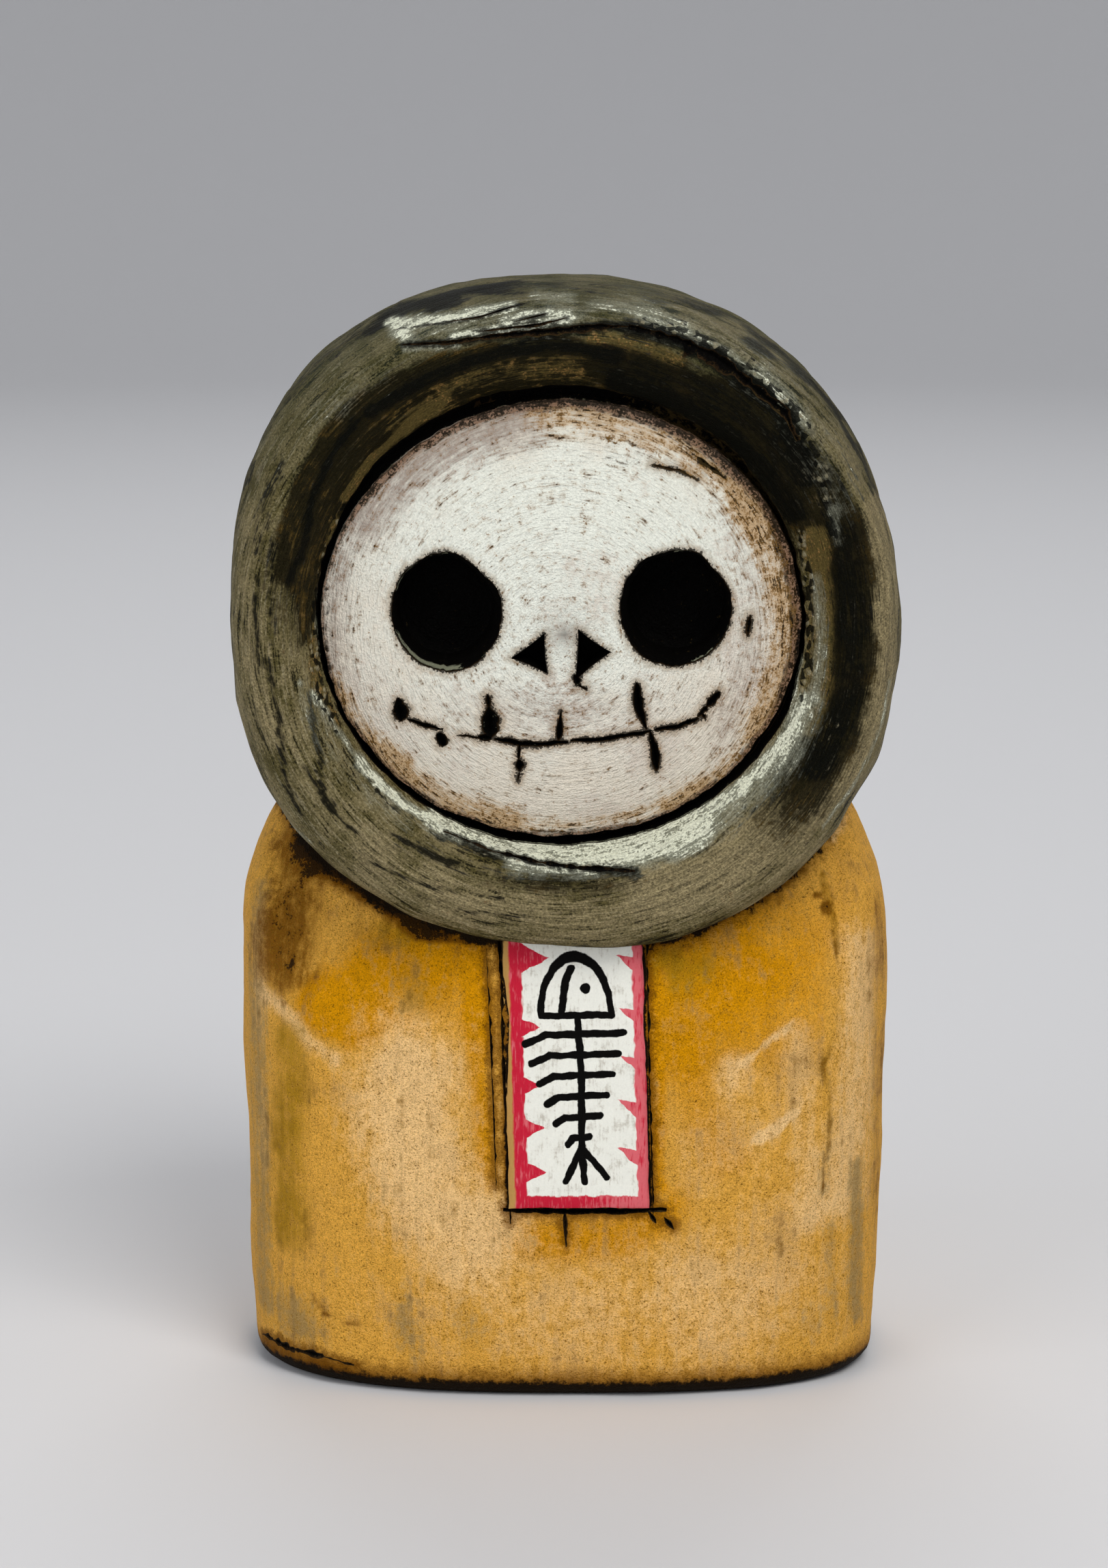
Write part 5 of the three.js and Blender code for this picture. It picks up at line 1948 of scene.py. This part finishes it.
@dataclass(frozen=True)
class Carving:
    """The whole figure: the three forms are joined, and the face and knife marks are cut in."""

    head: Head = Head()
    body: Body = Body()
    tag: TagPanel = TagPanel()
    cut_depth: float = 0.02
    groove_reach: float = 2.5
    # how far the wax and painted shade reach down the body under the hood, further at the left, and beside
    # the tag
    wax_and_shade_drop: float = 0.5
    wax_and_shade_drop_left: float = 1.2
    wax_and_shade_left: tuple[float, float] = (14, 26)
    wax_and_shade_at_tag: float = 4

    def build(self, finishes: dict[Finish, bpy.types.Material]) -> bpy.types.Object:
        """Makes the figure's mesh.

        Args:
            finishes: The material of each finish.

        Returns:
            The figure as one closed mesh with its paint layers.
        """
        form = self.head.shell()
        lips = self.head.lips(form)
        head = form.to_object("head_form")
        chest = self.body.shell().to_object("painted_figure")
        tag = self.tag.shell().to_object("tag_form")
        surfaces = [BVHTree.FromPolygons(*plain_mesh(form)) for form in (head, chest, tag)]
        knife, wax = KnifeTree(), finishes[Finish.CUT]
        combined(chest, [knife.cut(surfaces[1], cut, wax) for cut in CHEST_CUTS], Joining.CUT)
        figure = combined(chest, [head, tag], Joining.ADD)
        combined(figure, self.holes(), Joining.CUT)
        cuts = [*MOUTH, *STITCHES, *HOOD_CUTS]
        combined(figure, [knife.cut(surfaces[0], cut, wax) for cut in cuts], Joining.CUT)
        drop_scraps(figure.data)
        for index, finish in enumerate(Finish):
            figure.data.materials[index] = finishes[finish]
        points = np.empty(len(figure.data.vertices) * 3)
        figure.data.vertices.foreach_get("co", points)
        points = points.reshape(-1, 3) / MM
        finished = {finish: finish_points(figure.data, finish) for finish in Finish}
        self.paint_layers(figure.data, points, finished)
        for distance, values in self.distances(points, surfaces, finished, lips).items():
            store(figure.data, distance, values)
        figure.data.shade_smooth()
        figure.data.set_sharp_from_angle(angle=math.radians(SMOOTH_ANGLE))
        return figure

    def holes(self) -> list[bpy.types.Object]:
        """The solids cut out for the eyes and the nose.

        Returns:
            The solids.
        """
        face = self.head.face
        eyes = (
            ((-15.7, 107.9), ((40, 0.09), (62, 0.05))),
            ((14.8, 108.4), ((48, 0.05), (100, 0.03))),
        )
        nostrils = (
            ((-7.0, 101.8), (-2.6, 105.1), (-2.2, 99.7)),
            ((1.8, 105.6), (6.1, 102.6), (1.4, 98.8)),
        )
        made = []
        for index, ((x, z), notches) in enumerate(eyes):
            hollow = Hollow(socket_outline(x, z, notches, 3 + index), 9, 0.84)
            made.append(hollow.to_object(f"eye_{index}", float(face.depth(x, z))))
        for index, corners in enumerate(nostrils):
            hollow = Hollow(rounded_outline(corners), 4.5, 0.75)
            made.append(hollow.to_object(f"nostril_{index}", face.front))
        return made

    @staticmethod
    def paint_layers(mesh: bpy.types.Mesh, points: np.ndarray, finished: dict[Finish, np.ndarray]) -> None:
        """Keeps the paint layers on the mesh, with their edges a little ragged.

        Args:
            mesh: The figure's mesh.
            points: Its points in millimetres.
            finished: The numbers of the points of each finish.
        """
        broad = points + np.stack([wobble(points, 6, seed) for seed in (51, 52, 53)], axis=1) * 1.2
        fine = points + np.stack([wobble(points, 1.8, seed) for seed in (54, 55, 56)], axis=1) * 0.3
        for layer in Layer:
            amount = np.zeros(len(points))
            for (finish, kind), marks in PAINTING.items():
                at = finished[finish]
                for mark in marks if kind is layer else ():
                    amount[at] += mark.at((fine if isinstance(mark, Line) else broad)[at])
            store(mesh, layer, np.clip(amount, 0, MOST_PAINT))

    def distances(
        self, points: np.ndarray, surfaces: list[BVHTree], finished: dict[Finish, np.ndarray],
        lips: list[np.ndarray],
    ) -> dict[Distance, np.ndarray]:
        """Works out how far each point is from what the paint collects at or is rubbed off from, and from the
        creases where shade is painted.

        Args:
            points: The figure's points in millimetres.
            surfaces: The surfaces of the head, the body and the tag.
            finished: The numbers of the points of each finish.
            lips: Points of the two edges of the groove.

        Returns:
            A value for each point and each distance.
        """
        rows = points.tolist()
        near = np.array([
            [min(EDGE_REACH, surface.find_nearest(Vector(row))[3]) for row in rows] for surface in surfaces
        ])
        crevice = np.sort(near, axis=0)[1]
        tag, body, cut = (finished[finish] for finish in (Finish.TAG, Finish.BODY, Finish.CUT))
        crevice[tag] = near[0, tag]
        # on the body, dark reaches below the hood: wax and painted shade
        under_hood = near[0] - self.wax_and_shade_drop - self.wax_and_shade_drop_left * smooth_step(*self.wax_and_shade_left, -points[:, 0])
        crevice[body] = np.minimum(near[2] * self.wax_and_shade_at_tag, np.maximum(0, under_hood))[body]
        lip = nearest(points, np.concatenate(lips))
        sunk = near.min(axis=0)
        in_groove = (sunk < self.cut_depth) & (lip < self.groove_reach)
        return {
            Distance.CREVICE: crevice,
            Distance.LIP: lip,
            Distance.SUNK: np.where(in_groove, lip, sunk),
            Distance.HALO: nearest(points, points[cut[~in_groove[cut]]]),
        }


def finish_points(mesh: bpy.types.Mesh, finish: Finish) -> np.ndarray:
    """Numbers of the vertices that touch a face of a finish.

    Args:
        mesh: The mesh.
        finish: The finish.

    Returns:
        The numbers.
    """
    slots = np.empty(len(mesh.polygons), dtype=int)
    mesh.polygons.foreach_get("material_index", slots)
    totals = np.empty(len(mesh.polygons), dtype=int)
    mesh.polygons.foreach_get("loop_total", totals)
    corners = np.empty(len(mesh.loops), dtype=int)
    mesh.loops.foreach_get("vertex_index", corners)
    return np.unique(corners[np.repeat(slots, totals) == finish.value])


def nearest(points: np.ndarray, targets: np.ndarray) -> np.ndarray:
    """Distance from each point to the nearest target.

    Args:
        points: Points in millimetres.
        targets: The targets.

    Returns:
        The distances, none above EDGE_REACH.
    """
    tree = KDTree(len(targets))
    for index, target in enumerate(targets.tolist()):
        tree.insert(target, index)
    tree.balance()
    return np.array([min(EDGE_REACH, tree.find(point)[2]) for point in points.tolist()])


def store(mesh: bpy.types.Mesh, kind: Union[Layer, Distance], values: np.ndarray) -> None:
    """Keeps a number for each vertex on the mesh."""
    kept = mesh.attributes.new(kind.value, "FLOAT", "POINT")
    kept.data.foreach_set("value", values.astype(np.float32))


def plain_mesh(form: bpy.types.Object) -> tuple[list[Vector], list[Sequence[int]]]:
    """Points in millimetres and faces of a mesh object."""
    points = [vertex.co / MM for vertex in form.data.vertices]
    return points, [face.vertices[:] for face in form.data.polygons]


def laid_on(surface: BVHTree, points: Sequence[Point2]) -> np.ndarray:
    """Lays a path on a surface seen from the front, with a point every half millimetre or so.

    Args:
        surface: The surface, in millimetres.
        points: Corners of the path, in rows of x and z.

    Returns:
        Rows of x, y and z.
    """
    corners = np.array(points)
    lengths = np.linalg.norm(np.diff(corners, axis=0), axis=1)
    along = np.concatenate([[0], np.cumsum(lengths)])
    spread = np.linspace(0, along[-1], max(4, round(along[-1] / PATH_STEP)))
    path = []
    for x, z in zip(np.interp(spread, along, corners[:, 0]), np.interp(spread, along, corners[:, 1])):
        met = surface.ray_cast(Vector((x, VIEW_START, z)), Vector((0, 1, 0)))[0]
        path.append((x, met.y, z))
    return np.array(path)


@dataclass(frozen=True)
class Studio:
    """The camera, the pale floor and the soft lights."""

    aim: tuple[float, float, float] = (-1.3656, 0, 80.051)
    distance: float = 620
    elevation: float = 10
    lens: float = 103.223
    floor_radius: float = 1600
    wall_round: float = 700
    wall_height: float = 1500
    sensor: float = 36
    sides: int = 96
    bends: int = 12
    paper: Colour = paint(226, 226, 228)
    sky: Colour = (0.8, 0.82, 0.85, 1)
    sky_strength: float = 0.36

    def camera(self) -> None:
        """Puts the camera where the photograph was taken from."""
        data = bpy.data.cameras.new("view")
        data.lens = self.lens
        data.sensor_width = self.sensor
        made = bpy.data.objects.new("view", data)
        tilt = math.radians(self.elevation)
        away = Vector((0, -math.cos(tilt), math.sin(tilt)))
        made.location = (Vector(self.aim) + away * self.distance) * MM
        made.rotation_euler = (math.pi / 2 - tilt, 0, 0)
        bpy.context.scene.collection.objects.link(made)
        bpy.context.scene.camera = made

    def floor(self) -> None:
        """Makes a round floor that curves up into a wall all round."""
        sides = self.sides
        profile = [(self.floor_radius * share, 0.0) for share in (0.15, 0.5, 1)]
        for step in range(1, self.bends + 1):
            turn = math.pi / 2 * step / self.bends
            profile.append((self.floor_radius + self.wall_round * math.sin(turn),
                            self.wall_round * (1 - math.cos(turn))))
        profile.append((self.floor_radius + self.wall_round, self.wall_height))
        points = [(0.0, 0.0, 0.0)]
        for radius, height in profile:
            for side in range(sides):
                angle = 2 * math.pi * side / sides
                points.append((radius * math.cos(angle), radius * math.sin(angle), height))
        faces: list[tuple[int, ...]] = [(0, 1 + side, 1 + (side + 1) % sides) for side in range(sides)]
        for ring in range(len(profile) - 1):
            near, far = 1 + ring * sides, 1 + (ring + 1) * sides
            for side in range(sides):
                after = (side + 1) % sides
                faces.append((near + side, far + side, far + after, near + after))
        made = mesh_object("studio_floor", np.array(points), faces, [0] * len(faces))
        made.data.shade_smooth()
        made.data.materials.clear()
        made.data.materials.append(self.floor_paint())

    def floor_paint(self) -> bpy.types.Material:
        """Plain pale paper.

        Returns:
            The material.
        """
        space = FigureSpace("floor_paper")
        fibre = space.noise(3, 2)
        sockets = {"Base Color": self.paper, "Roughness": 0.8, "Normal": space.bump(fibre, 0.02)}
        shader = space.node("ShaderNodeBsdfPrincipled", {}, sockets)
        space.node("ShaderNodeOutputMaterial", {}, {"Surface": shader.outputs[0]})
        return space.material

    def lights(self) -> None:
        """Sets a large soft key above to the right, a fill on the left and a wash from behind."""
        plan = (
            ("key", (420, -900, 1150), 700, 11.5, (1, 0.98, 0.95)),
            ("fill", (-900, -900, 500), 900, 4.6, (0.95, 0.97, 1)),
            ("back", (0, 900, 1200), 900, 5, (1, 1, 1)),
        )
        for name, place, size, power, colour in plan:
            data = bpy.data.lights.new(name, "AREA")
            data.size = size * MM
            data.energy = power
            data.color = colour
            made = bpy.data.objects.new(name, data)
            made.location = Vector(place) * MM
            toward = Vector(self.aim) * MM - made.location
            made.rotation_euler = toward.to_track_quat("-Z", "Y").to_euler()
            bpy.context.scene.collection.objects.link(made)
        world = bpy.data.worlds.new("soft_room")
        world.use_nodes = True
        background = next(node for node in world.node_tree.nodes if node.type == "BACKGROUND")
        background.inputs["Color"].default_value = self.sky
        background.inputs["Strength"].default_value = self.sky_strength
        bpy.context.scene.world = world
        bpy.context.scene.view_settings.view_transform = "Standard"


def main() -> None:
    """Builds the studio and the figure."""
    logging.basicConfig(level=logging.INFO, format="%(name)s: %(message)s")
    studio = Studio()
    studio.camera()
    studio.floor()
    studio.lights()
    finishes = {
        Finish.HOOD: HoodPaint().build(),
        Finish.FACE: FacePaint().build(),
        Finish.BODY: BodyPaint().build(),
        Finish.TAG: TagPaint().build(),
        Finish.CUT: CutPaint().build(),
    }
    figure = Carving().build(finishes)
    log.info("painted_figure: %d points, %d faces", len(figure.data.vertices), len(figure.data.polygons))
    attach(figure, BODY_NAME)
    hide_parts(SOLID_NODE)


if __name__ == "__main__":
    main()
